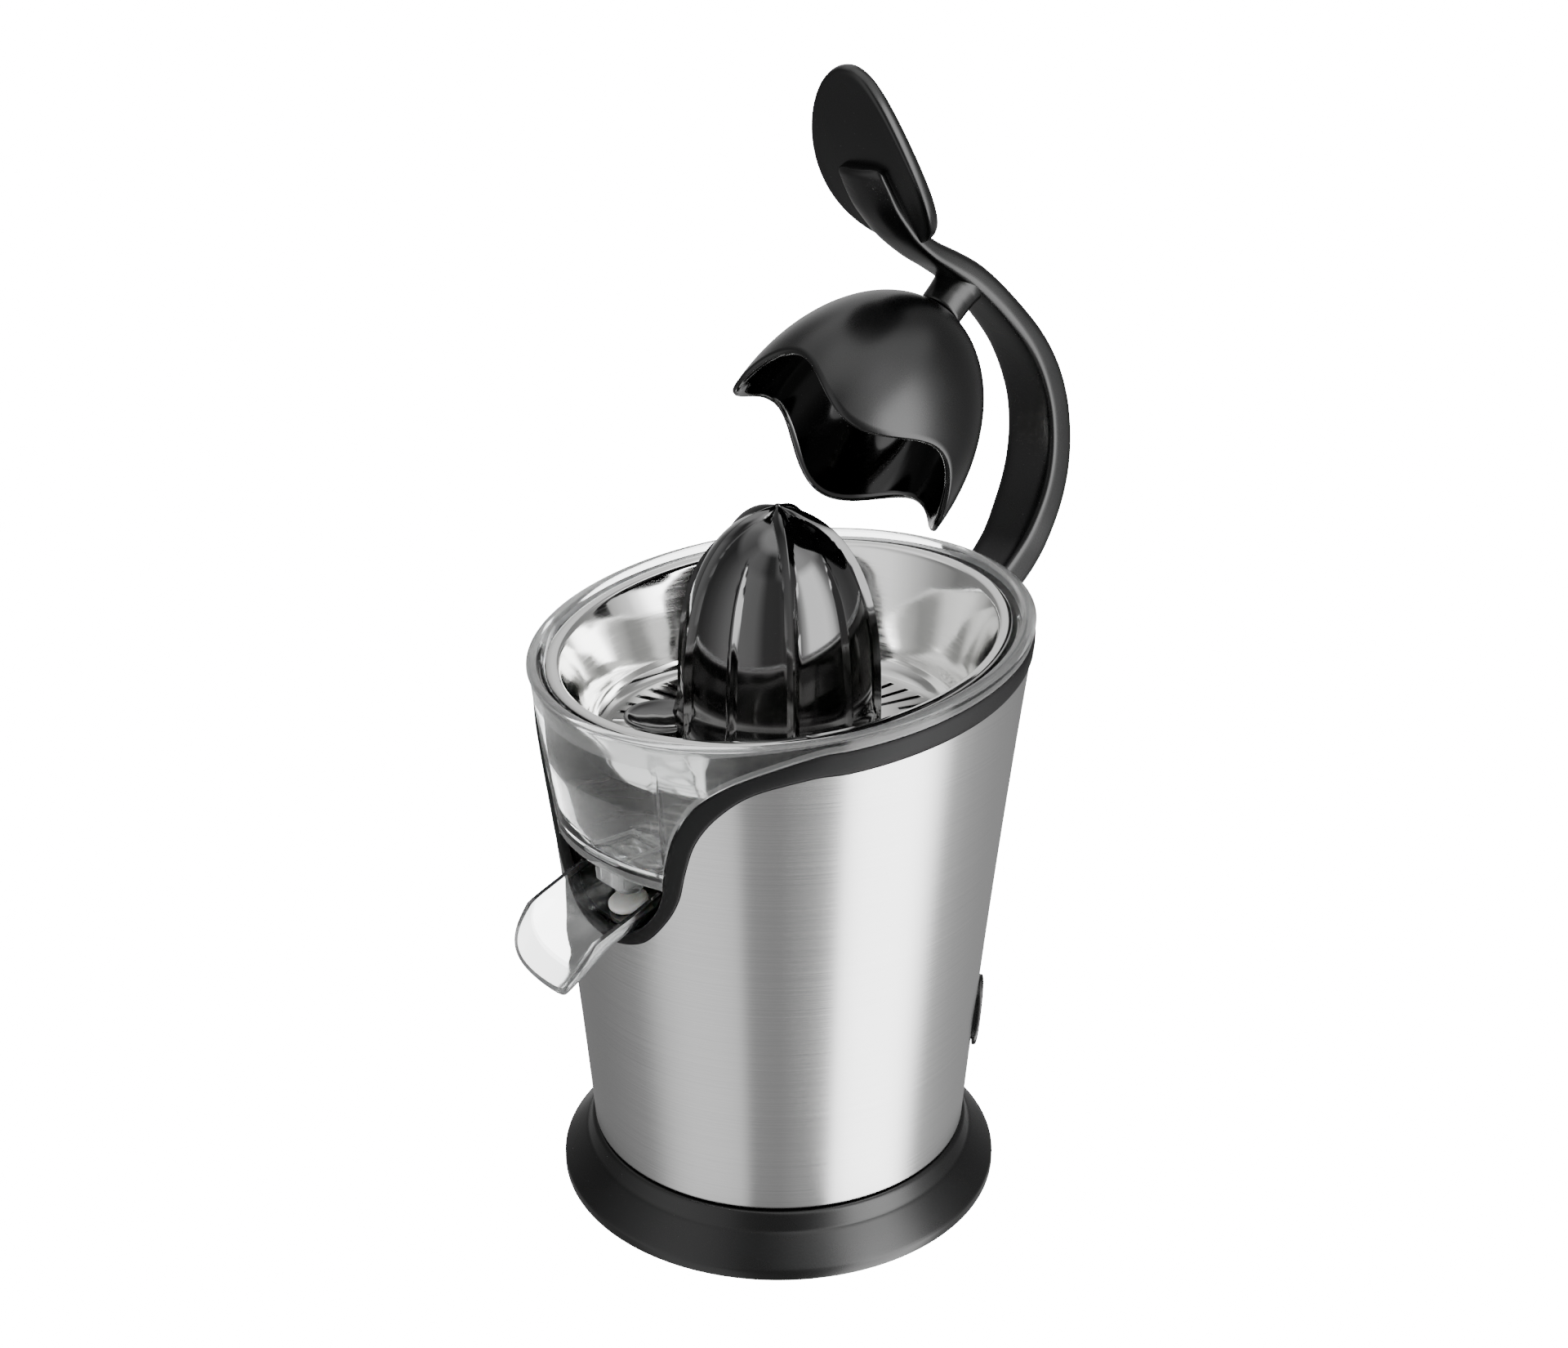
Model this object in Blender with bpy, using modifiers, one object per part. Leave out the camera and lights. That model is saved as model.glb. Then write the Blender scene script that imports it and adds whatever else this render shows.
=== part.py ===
"""Lever citrus press: a tapered steel drum with a clear juice bowl, a steel strainer, a ribbed reamer
on a geared motor, a flip-up spout and a hinged lever arm with a palm rest and a scalloped press dome.

Frame: +Z up, the drum's axis is Z, the spout faces -Y, the lever hinge is at +Y.
The origin is the centre of the flat boss under the bottom plate, level with the rubber feet.
Angles called "turn" are measured about Z from the front (-Y) towards +X.
"""

import math

import bmesh
import bpy
from mathutils import Matrix, Vector

# ---- driving dimensions, metres ----
GAP = 0.0003
DRUM_FOOT_Z = 0.0224
DRUM_FOOT_R = 0.0695
DRUM_TAPER = 0.0748
DRUM_FLARE = 0.1185
SHEET = 0.0012
RIM_MID_Z = 0.2133
RIM_SLOPE = 0.1327
RIM_R = 0.0875
LIP_HEIGHT = 0.0053
TRIM_DEPTH = 0.0128

PLATE_LOW_Z = 0.0012
PLATE_TOP_Z = 0.0034
PLATE_R = 0.0770
BASE_R = 0.0816
FOOT_R = 0.0075
FOOT_RING_R = 0.062
BOSS_R = 0.0120
POST_RING_R = 0.056
POST_R = 0.0042
SCREW_R = 0.0015

TRAY_Z = 0.0945
TRAY_T = 0.003
TRAY_R = 0.0732
COVER_R = 0.0662
COVER_TOP_Z = 0.1197
DECK_Z = 0.1400
DECK_T = 0.003
DECK_R = 0.0752
CHIMNEY_TOP_Z = 0.1660

MOTOR_X = 0.0092
MOTOR_Y = 0.0259
MOTOR_R = 0.024
MOTOR_LOW_Z = 0.040
IDLER_X = 0.0364
IDLER_Y = 0.01325
MODULE_FAST = 0.0015
MODULE_SLOW = 0.00155
TEETH_MOTOR = 10
TEETH_IDLER_BIG = 30
TEETH_IDLER_SMALL = 12
TEETH_OUTPUT = 38

SHAFT_R = 0.004
SHAFT_LOW_Z = 0.1012
SHAFT_TOP_Z = 0.2150
SLEEVE_LOW_Z = 0.1235
SLEEVE_TOP_Z = 0.1630
SLEEVE_R = 0.0076
COLLAR_Z = 0.1300
COLLAR_R = 0.0150

BOWL_FLOOR_Z = 0.1500
BOWL_UNDER_Z = 0.1475
BOWL_WALL = 0.0024
BOWL_TUCK = 0.0036
OUTLET_Y = -0.0676
STRAINER_Z = 0.1753
STRAINER_T = 0.0012
SLOTS = 24
SLOT_WIDTH = 0.0016
SLOT_OUTER_R = 0.0590

CONE_R = 0.0368
CONE_LOW_Z = 0.1785
CONE_TOP_Z = 0.2572
CONE_FULLNESS = 3.1
CONE_RIBS = 5
CONE_TURN = math.radians(54.0)
WING_TURN = math.radians(-41.0)
WING_REACH = 0.0400
WING_HALF_L = 0.0146
WING_HALF_W = 0.0140

HINGE_Y = 0.0955
HINGE_Z = 0.2029
HUB_R = 0.0078
ARM_HALF = 0.0108
EAR_T = 0.005
PIN_R = 0.0025

DOME_R = 0.0428
DOME_H = 0.0627
DOME_WALL = 0.0025
DOME_EDGE = 0.0592
DOME_WAVE = 0.0070
DOME_TILT = math.radians(47.9)
DOME_APEX = Vector((0.0, 0.0750, 0.3130))

SPOUT_HINGE_Y = -0.0475
SPOUT_HINGE_Z = 0.1405
PLUG_LOW_Z = 0.1297
PLUG_TILT = math.radians(12.9)
PLUG_R = 0.0070
PLUG_T = 0.0020
BARREL_R = 0.0030
BARREL_HALF = 0.0165
SPOUT_PIN_R = 0.0014

WELL_HALF = 0.0250
WELL_BACK_Y = -0.0400
WELL_FRONT_Y = -0.0712
WELL_LOW_Z = 0.1225
WELL_TOP_Z = 0.1468
WELL_WALL = 0.0016
WELL_ROUND = 0.0150

BALL_UP = 0.0058
BALL_R = 0.0040
STUB_R = 0.0062
NECK_R = 0.0024

PAD_BASE = Vector((0, 0.0594, 0.3396))
PAD_LEAN = math.radians(27.0)
PAD_LENGTH = 0.0668
PAD_HALF = 0.0226
PAD_T = 0.0056
PAD_BOW = 0.0054

BRACKET_SPAN = math.radians(13.0)
BRACKET_LOW_Z = 0.1700
BRACKET_TOP_Z = 0.2060
BRACKET_Y = 0.0900
EAR_FOOT_Z = 0.1800
EAR_CLEAR = 0.0006
CAP_R = 0.0046
CAP_T = 0.0012

SWITCH_TURN = math.radians(135.0)
SWITCH_Z = 0.0640
SWITCH_HALF_W = 0.0100
SWITCH_HALF_H = 0.0140
GLAND_Z = 0.0400
GLAND_R = 0.0062

ROTOR_R = 0.0140
ROTOR_SHAFT_R = 0.0024
PINION_LOW_Z = 0.0986
PINION_TOP_Z = 0.1049
IDLER_LOW_Z = 0.0990
IDLER_STEP_Z = 0.1045
IDLER_TOP_Z = 0.1128
OUTPUT_LOW_Z = 0.1066
OUTPUT_TOP_Z = 0.1124
AXLE_R = 0.0020
SPRING_TURNS = 4.5
SPRING_R = 0.0094
SPRING_WIRE_R = 0.0006

# The trim round the spout opening, as (turn in degrees, lower edge z), then (turn, upper edge z).
TRIM_LOWER = ((0, 0.1200), (8, 0.1219), (15, 0.1264), (21.5, 0.1364), (25.3, 0.1460), (27.4, 0.1570),
              (30.4, 0.1690), (36, 0.1800), (44, 0.1890), (56, 0.1945))
TRIM_UPPER = ((0, 0.1243), (7, 0.1257), (13, 0.1300), (18, 0.1375), (20.8, 0.1460), (22.4, 0.1570),
              (25.4, 0.1700), (31, 0.1822), (41, 0.1925), (56, 0.2012))
RIM_TURNS = [math.radians(a) for a in (64, 74, 86, 98, 110, 122, 134, 146, 158, 169, 180)]

# Stations along the trough: y, rim z, outer bottom z, half width at the rim.
TROUGH = (
    (-0.0450, 0.1464, 0.1340, 0.0172), (-0.0560, 0.1445, 0.1300, 0.0185), (-0.0700, 0.1411, 0.1268, 0.0200),
    (-0.0800, 0.1379, 0.1250, 0.0204), (-0.0880, 0.1352, 0.1222, 0.0205), (-0.0935, 0.1336, 0.1175, 0.0206),
    (-0.0962, 0.1327, 0.1128, 0.0207), (-0.0975, 0.1323, 0.1086, 0.0207),
)
TROUGH_WALL = 0.0016
LIP_REACH = 0.0065

# Arm centre line in the plane x = 0: y, z, thickness across the line, half width.
ARM_LINE = (
    (0.1010, 0.2050, 0.0125, 0.0105), (0.1092, 0.2098, 0.0140, 0.0108), (0.1184, 0.2189, 0.0132, 0.0108),
    (0.1251, 0.2294, 0.0117, 0.0108), (0.1299, 0.2403, 0.0106, 0.0108), (0.1325, 0.2518, 0.0098, 0.0108),
    (0.1323, 0.2636, 0.0092, 0.0108), (0.1296, 0.2760, 0.0086, 0.0108), (0.1234, 0.2888, 0.0083, 0.0107),
    (0.1144, 0.3016, 0.0083, 0.0106), (0.1003, 0.3149, 0.0078, 0.0104), (0.0868, 0.3260, 0.0070, 0.0102),
    (0.0760, 0.3318, 0.0066, 0.0100), (0.0658, 0.3363, 0.0062, 0.0100), (0.0559, 0.3422, 0.0054, 0.0102),
    (0.0501, 0.3474, 0.0048, 0.0103), (0.0443, 0.3534, 0.0044, 0.0104), (0.0404, 0.3592, 0.0038, 0.0104),
    (0.0372, 0.3650, 0.0032, 0.0102),
)

# Station of the arm where its tongue, which lies against the palm rest, begins.
TONGUE_FROM = 11

# ---- collections and materials ----


def clear_scene():
    for obj in list(bpy.data.objects):
        bpy.data.objects.remove(obj, do_unlink=True)


def new_collection(name):
    made = bpy.data.collections.new(name)
    bpy.context.scene.collection.children.link(made)
    return made


clear_scene()
PARTS = new_collection("citrus_press_juicer")
CUTTERS = new_collection("cutters")


def material(name, colour, roughness, metallic=0.0, alpha=1.0):
    made = bpy.data.materials.new(name)
    made.use_nodes = True
    shader = made.node_tree.nodes["Principled BSDF"]
    shader.inputs["Base Color"].default_value = (*colour, 1.0)
    shader.inputs["Roughness"].default_value = roughness
    shader.inputs["Metallic"].default_value = metallic
    shader.inputs["Alpha"].default_value = alpha
    return made


SATIN_BLACK = material("satin_black_plastic", (0.018, 0.018, 0.019), 0.42)
GLOSS_BLACK = material("gloss_black_plastic", (0.008, 0.008, 0.009), 0.08)
BRUSHED = material("brushed_steel", (0.62, 0.62, 0.62), 0.32, 1.0)
POLISHED = material("polished_steel", (0.75, 0.75, 0.75), 0.10, 1.0)
CLEAR = material("clear_plastic", (0.93, 0.94, 0.94), 0.05, 0.0, 0.35)
RUBBER = material("black_rubber", (0.02, 0.02, 0.02), 0.80)
SILICONE = material("pale_silicone", (0.80, 0.79, 0.76), 0.45)
STEEL = material("plain_steel", (0.50, 0.50, 0.51), 0.35, 1.0)
NYLON = material("white_nylon", (0.82, 0.82, 0.78), 0.45)

# ---- making and joining solids ----


def add_object(name, mesh, finish, group=PARTS):
    made = bpy.data.objects.new(name, mesh)
    if finish is not None:
        mesh.materials.append(finish)
    group.objects.link(made)
    return made


def as_cutter(obj):
    obj.hide_render = True
    obj.display_type = "WIRE"
    return obj


def finish_mesh(name, bm, finish, group=PARTS, smooth=True):
    bmesh.ops.recalc_face_normals(bm, faces=bm.faces)
    mesh = bpy.data.meshes.new(name)
    bm.to_mesh(mesh)
    bm.free()
    if smooth:
        mesh.shade_smooth()
        mesh.set_sharp_from_angle(angle=math.radians(35))
    return add_object(name, mesh, finish, group)


def boolean(obj, tool, operation):
    step = obj.modifiers.new(operation.lower() + "_" + tool.name, "BOOLEAN")
    step.operation = operation
    step.solver = "EXACT"
    step.object = as_cutter(tool)


def cut(obj, tool):
    boolean(obj, tool, "DIFFERENCE")


def join(obj, tool):
    boolean(obj, tool, "UNION")


def box(name, low, high, finish=None, group=CUTTERS, bevel=0.0):
    low, high = Vector(low), Vector(high)
    bm = bmesh.new()
    size = high - low
    place = Matrix.Translation((low + high) / 2) @ Matrix.Diagonal((*size, 1.0))
    bmesh.ops.create_cube(bm, size=1.0, matrix=place)
    made = finish_mesh(name, bm, finish, group, smooth=False)
    if bevel:
        edge = made.modifiers.new("bevel", "BEVEL")
        edge.width = bevel
        edge.segments = 2
    return made


def rod(name, start, end, radius, finish=None, group=CUTTERS, sides=24, end_radius=None):
    """Cylinder or cone frustum between two points."""
    start, end = Vector(start), Vector(end)
    axis = end - start
    place = Matrix.Translation((start + end) / 2) @ axis.to_track_quat("Z", "Y").to_matrix().to_4x4()
    bm = bmesh.new()
    last = radius if end_radius is None else end_radius
    bmesh.ops.create_cone(
        bm, cap_ends=True, segments=sides, radius1=radius, radius2=last, depth=axis.length, matrix=place
    )
    return finish_mesh(name, bm, finish, group)


def turned(name, profile, finish=None, group=PARTS, steps=48, at=(0.0, 0.0)):
    """Screw a profile of (radius, z) points about Z; the points run down the outer side first.

    A profile that ends on the axis is left open there; any other one is closed into a ring."""
    mesh = bpy.data.meshes.new(name)
    points = [(r, 0.0, z) for r, z in profile]
    edges = [(i, i + 1) for i in range(len(points) - 1)]
    if profile[0][0] > 0.0:
        edges.append((len(points) - 1, 0))
    mesh.from_pydata(points, edges, [])
    made = add_object(name, mesh, finish, group)
    made.location = (at[0], at[1], 0.0)
    screw = made.modifiers.new("turn", "SCREW")
    screw.axis = "Z"
    screw.angle = math.tau
    screw.steps = steps
    screw.render_steps = steps
    screw.use_merge_vertices = True
    screw.merge_threshold = 0.00001
    screw.use_smooth_shade = True
    return made


def bridge(bm, loop, following):
    """Faces between two closed rows of vertices."""
    for j in range(len(loop)):
        k = (j + 1) % len(loop)
        bm.faces.new((loop[j], following[j], following[k], loop[k]))


def fan(bm, loop, pole):
    """Faces from a closed row of vertices to one point."""
    for j in range(len(loop)):
        bm.faces.new((loop[j], loop[(j + 1) % len(loop)], pole))


def closed_ring(name, loops, finish, group=PARTS):
    """Ring-shaped body through a row of point loops; the last loop meets the first."""
    bm = bmesh.new()
    rows = [[bm.verts.new(p) for p in loop] for loop in loops]
    for i, row in enumerate(rows):
        bridge(bm, row, rows[(i + 1) % len(rows)])
    return finish_mesh(name, bm, finish, group)


def ring_loft(name, turns, section, finish, group=PARTS):
    """Closed ring round Z: section(turn) gives the same number of (radius, z) points at each turn."""
    return closed_ring(name, [[polar(r, a, z) for r, z in section(a)] for a in turns], finish, group)


def tube_loft(name, sections, finish, group=PARTS):
    """Closed body through a row of point loops, capped at both ends."""
    bm = bmesh.new()
    loops = [[bm.verts.new(p) for p in section] for section in sections]
    for loop, following in zip(loops, loops[1:]):
        bridge(bm, loop, following)
    bm.faces.new(loops[0])
    bm.faces.new(loops[-1])
    return finish_mesh(name, bm, finish, group)


# ---- curves that several pieces share ----


def polar(radius, turn, z):
    return Vector((radius * math.sin(turn), -radius * math.cos(turn), z))


def drum_radius(z):
    up = z - DRUM_FOOT_Z
    return DRUM_FOOT_R + DRUM_TAPER * up + DRUM_FLARE * up * up


def rim_z(radius, turn):
    return RIM_MID_Z - RIM_SLOPE * radius * math.cos(turn)


def half_edge(points, drop):
    """One side of an edge: round the opening, then along the rim plane to the back."""
    curve = [Vector((math.radians(turn), z)) for turn, z in points]
    return curve + [Vector((a, rim_z(RIM_R, a) - drop)) for a in RIM_TURNS]


def whole_edge(half):
    """Both sides, from the back left round the front to the back."""
    mirrored = [Vector((-p.x, p.y)) for p in reversed(half[1:-1])]
    return mirrored + half


LOWER_EDGE = whole_edge(half_edge(TRIM_LOWER, TRIM_DEPTH))
UPPER_EDGE = whole_edge(half_edge(TRIM_UPPER, LIP_HEIGHT))


def shifted(edge, other, distance):
    """Move an edge away from its partner along the drum's surface."""
    out = []
    for p, q in zip(edge, other):
        across = Vector(((q.x - p.x) * RIM_R, q.y - p.y)).normalized() * distance
        out.append(Vector((p.x - across.x / RIM_R, p.y - across.y)))
    return out


# ---- base ----


def make_base():
    low = PLATE_LOW_Z
    ring = [
        (0.0678, 0.0300), (0.0676, 0.0215), (0.0700, 0.0212), (0.0706, 0.0206), (0.0724, 0.0154),
        (0.0732, 0.0147), (0.0808, 0.0060), (BASE_R, 0.0048), (BASE_R, low), (PLATE_R + 0.0004, low),
        (PLATE_R + 0.0004, PLATE_TOP_Z + 0.0006), (0.0664, 0.0110), (0.0660, 0.0300),
    ]
    turned("base_ring", ring, SATIN_BLACK, steps=40)
    disc = [
        (0.0, PLATE_TOP_Z), (PLATE_R, PLATE_TOP_Z), (PLATE_R, low), (BOSS_R, low), (BOSS_R, 0.0), (0.0, 0.0),
    ]
    plate = turned("bottom_plate", disc, SATIN_BLACK, steps=40)
    for i in range(4):
        spot = polar(FOOT_RING_R, math.radians(45 + 90 * i), 0.0)
        top = spot + Vector((0, 0, low + 0.0010))
        rod(f"foot_{i + 1}", spot, top - Vector((0, 0, GAP)), FOOT_R * 0.92, RUBBER, PARTS, 16, FOOT_R)
        cut(plate, rod(f"foot_seat_{i + 1}", spot, top, FOOT_R + GAP, sides=16))
    for i in range(3):
        make_post(i, plate)


def make_post(index, plate):
    """Post between the plate and the gear tray, with the screw that holds the plate to it."""
    spot = polar(POST_RING_R, math.radians(120 * index), PLATE_LOW_Z)
    up = Vector((0, 0, 1))
    foot, head = spot.copy(), spot.copy()
    foot.z, head.z = PLATE_TOP_Z + GAP, TRAY_Z - GAP
    label = index + 1
    post = rod(f"frame_post_{label}", foot, head, POST_R, STEEL, PARTS, sides=16)
    cut(post, rod(f"post_bore_{label}", foot - up * 0.001, foot + up * 0.0110, SCREW_R + GAP, sides=12))
    screw = rod(f"base_screw_{label}", spot + up * 0.0001, spot + up * 0.0011, 0.0030, STEEL, PARTS, sides=16)
    join(screw, rod(f"screw_shank_{label}", spot + up * 0.0008, foot + up * 0.0095, SCREW_R, sides=12))
    reach = Vector((0.0040, 0.0004, 0.0))
    cut(screw, box(f"screw_slot_{label}", spot - reach - up * 0.001, spot + reach + up * 0.0006))
    cut(plate, rod(f"screw_seat_{label}", spot - up * 0.001, spot + up * 0.0014, 0.0033, sides=16))
    cut(plate, rod(f"screw_hole_{label}", spot - up * 0.002, foot + up * 0.001, SCREW_R + GAP, sides=12))


# ---- drum, trim and what they hold ----


def wall_section(top_of, outer, inner, bottom, rows=4):
    """Section of a wall that follows the drum, between two depths inside its surface."""
    def section(turn):
        top = top_of[turn]
        heights = [bottom + (top - bottom) * i / rows for i in range(rows + 1)]
        outside = [(drum_radius(z) - outer, z) for z in heights]
        inside = [(drum_radius(z) - inner, z) for z in reversed(heights)]
        return outside + inside
    return section


def make_shell():
    edge = shifted(LOWER_EDGE, UPPER_EDGE, 0.0004)
    tops = {p.x: p.y for p in edge}
    shell = ring_loft("body_shell", list(tops), wall_section(tops, 0.0, SHEET, DRUM_FOOT_Z), BRUSHED)
    switch, out = switch_face()
    cut(shell, oval_prism("switch_window", switch - out * 0.006, out, SWITCH_HALF_W - 0.0016,
                          SWITCH_HALF_H - 0.0016, 0.012))
    cut(shell, rod("gland_window", (0, 0.060, GLAND_Z), (0, 0.080, GLAND_Z), GLAND_R + GAP, sides=20))


def oval_prism(name, start, along, half_width, half_height, length, finish=None, group=CUTTERS, sides=24):
    """Prism with an oval end, standing along a nearly level direction."""
    side = Vector((0, 0, 1)).cross(along).normalized()
    rise = along.cross(side)
    sections = []
    for reach in (0.0, length):
        loop = []
        for i in range(sides):
            a = math.tau * i / sides
            flat = side * half_width * math.cos(a) + rise * half_height * math.sin(a)
            loop.append(start + along * reach + flat)
        sections.append(loop)
    return tube_loft(name, sections, finish, group)


def make_trim():
    across = ((0.0, -0.0026), (0.0, 0.0003), (0.10, 0.0008), (0.90, 0.0008), (1.0, 0.0003), (1.0, -0.0026))
    loops = []
    for low, high in zip(LOWER_EDGE, UPPER_EDGE):
        spots = [(low.lerp(high, share), proud) for share, proud in across]
        loops.append([polar(drum_radius(spot.y) + proud, spot.x, spot.y) for spot, proud in spots])
    closed_ring("collar_trim", loops, SATIN_BLACK)


def make_deck():
    profile = [
        (0.0106, CHIMNEY_TOP_Z), (0.0106, DECK_Z + DECK_T), (DECK_R, DECK_Z + DECK_T), (DECK_R, DECK_Z),
        (0.0082, DECK_Z), (0.0082, CHIMNEY_TOP_Z),
    ]
    deck = turned("inner_deck", profile, SATIN_BLACK, steps=40)
    notch = WELL_HALF + 0.0020
    cut(deck, box("spout_notch", (-notch, -0.0900, 0.130), (notch, WELL_BACK_Y + 0.0020, 0.150)))


def well_outline(grow, y, top):
    """U-shaped loop in the plane y, open side up."""
    half = WELL_HALF + grow
    low = WELL_LOW_Z - grow
    loop = [Vector((half, y, top))]
    for i in range(7):
        a = math.radians(-90 * i / 6)
        across, up = math.cos(a) - 1, math.sin(a) + 1
        loop.append(Vector((half + WELL_ROUND * across, y, low + WELL_ROUND * up)))
    loop += [Vector((-p.x, p.y, p.z)) for p in reversed(loop)]
    return loop


def make_well():
    outer = [well_outline(WELL_WALL, y, WELL_TOP_Z) for y in (WELL_FRONT_Y, WELL_BACK_Y + WELL_WALL)]
    inner = [well_outline(0.0, y, WELL_TOP_Z + 0.004) for y in (WELL_FRONT_Y - 0.010, WELL_BACK_Y)]
    well = tube_loft("spout_well", outer, SATIN_BLACK)
    cut(well, tube_loft("well_hollow", inner, None, CUTTERS))


# ---- clear bowl and strainer ----


def bowl_skirt():
    """Lower edge of the bowl's outer face at each turn, and whether the wall is tucked in there."""
    edge = shifted(UPPER_EDGE, LOWER_EDGE, 0.0005)
    skirt = {}
    for p, q in zip(edge, edge[1:]):
        skirt[p.x] = (max(p.y, BOWL_UNDER_Z), p.y > BOWL_UNDER_Z)
        if (p.y > BOWL_UNDER_Z) != (q.y > BOWL_UNDER_Z):
            corner = p.lerp(q, (BOWL_UNDER_Z - p.y) / (q.y - p.y)).x
            step = math.copysign(0.0015, corner)
            pair = [(corner + step, (BOWL_UNDER_Z + 0.0002, True)), (corner, (BOWL_UNDER_Z, False))]
            skirt.update(pair if corner < 0 else reversed(pair))
    skirt[edge[-1].x] = (edge[-1].y, True)
    return skirt


def make_bowl():
    skirt = bowl_skirt()

    def section(turn):
        low, tucked = skirt[turn]
        top = rim_z(RIM_R, turn)
        wall = BOWL_TUCK + BOWL_WALL
        under = BOWL_UNDER_Z
        behind = BOWL_TUCK if tucked else 0.0004
        middle = (low + top) / 2
        return [
            (drum_radius(low), low),
            (drum_radius(middle), middle),
            (drum_radius(top) - 0.0006, top - 0.0008),
            (0.0866, top),
            (0.0838, rim_z(0.0838, turn)),
            (0.0818, rim_z(0.0818, turn) - 0.0026),
            (0.0795, rim_z(0.0795, turn) - 0.0042),
            (drum_radius(0.190) - wall, 0.190),
            (drum_radius(0.160) - wall, 0.160),
            (drum_radius(0.155) - wall - 0.0030, BOWL_FLOOR_Z + 0.0015),
            (0.0640, BOWL_FLOOR_Z),
            (0.0135, BOWL_FLOOR_Z + 0.0015),
            (0.0130, 0.1720),
            (0.0112, 0.1720),
            (0.0112, under),
            (0.0640, under),
            (drum_radius(under) - BOWL_TUCK - 0.0020, under),
            (drum_radius(under) - behind, under),
            (drum_radius(low) - behind, low + (0.0 if tucked else 0.00005)),
        ]

    bowl = ring_loft("juice_bowl", list(skirt), section, CLEAR)
    y = OUTLET_Y
    join(bowl, box("outlet_block", (-0.0110, y - 0.0090, 0.1352), (0.0110, y + 0.0090, 0.1490)))
    cut(bowl, box("outlet_hollow", (-0.0094, y - 0.0074, 0.1300), (0.0094, y + 0.0074, 0.1478)))
    join(bowl, rod("outlet_nozzle", (0, y, 0.1352), (0, y, 0.1490), 0.0058, sides=20))
    cut(bowl, rod("outlet_bore", (0, y, 0.1300), (0, y, 0.1600), 0.0040, sides=20))


def make_strainer():
    turns = [math.tau * i / 40 for i in range(40)]

    def section(turn):
        flange_out = rim_z(0.0803, turn) - 0.0022
        flange_in = rim_z(0.0766, turn) - 0.0022
        wall_top = flange_in - 0.0012
        knee = STRAINER_Z + 0.0085
        under = STRAINER_Z - STRAINER_T
        half_way = wall_top + (knee - wall_top) * 0.45
        inset = 0.42 * 0.0087
        inside = [
            (0.0803, flange_out), (0.0766, flange_in), (0.0757, wall_top),
            (0.0757 - inset, half_way), (0.0672, knee), (0.0655, STRAINER_Z + 0.0035),
            (0.0615, STRAINER_Z), (0.0400, STRAINER_Z), (0.0180, STRAINER_Z), (0.0165, STRAINER_Z + 0.0012),
        ]
        outside = [
            (0.0152, STRAINER_Z + 0.0012), (0.0160, under), (0.0400, under), (0.0620, under),
            (0.0663, STRAINER_Z + 0.0026), (0.0683, knee - 0.0004), (0.0769 - inset, half_way),
            (0.0770, wall_top - 0.0003), (0.0778, flange_in - 0.0012), (0.0803, flange_out - 0.0010),
        ]
        return inside + outside

    strainer = ring_loft("strainer", turns, section, POLISHED)
    bm = bmesh.new()
    for i in range(SLOTS):
        turn = math.tau * (i + 0.5) / SLOTS
        reach = (0.0435, 0.0475, 0.0455)[i % 3]
        spot = polar((reach + SLOT_OUTER_R) / 2, turn, STRAINER_Z)
        size = Matrix.Diagonal((SLOT_WIDTH, SLOT_OUTER_R - reach, 0.0060, 1.0))
        place = Matrix.Translation(spot) @ Matrix.Rotation(turn, 4, "Z")
        bmesh.ops.create_cube(bm, size=1.0, matrix=place @ size)
    cut(strainer, finish_mesh("strainer_slots", bm, None, CUTTERS, smooth=False))


# ---- reamer ----


def cone_radius(z):
    t = max(0.0, min(1.0, (z - CONE_LOW_Z) / (CONE_TOP_Z - CONE_LOW_Z)))
    return CONE_R * math.sqrt(1 - t**CONE_FULLNESS)


def rib_depth(turn, z):
    """How far the skin sinks below the rib crests at this turn, 0 on a crest."""
    t = (z - CONE_LOW_Z) / (CONE_TOP_Z - CONE_LOW_Z)
    phase = ((turn - CONE_TURN) / math.tau * CONE_RIBS) % 1.0
    to_main = min(phase, 1 - phase) * 2
    to_minor = abs(phase - 0.5) * 2
    main = min(1.0, to_main * 3.2)
    minor = min(1.0, to_minor * 3.2) if t < 0.80 else 1.0
    return 0.0042 * min(main, 0.35 + 0.65 * minor) * (1 - 0.55 * t)


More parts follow.
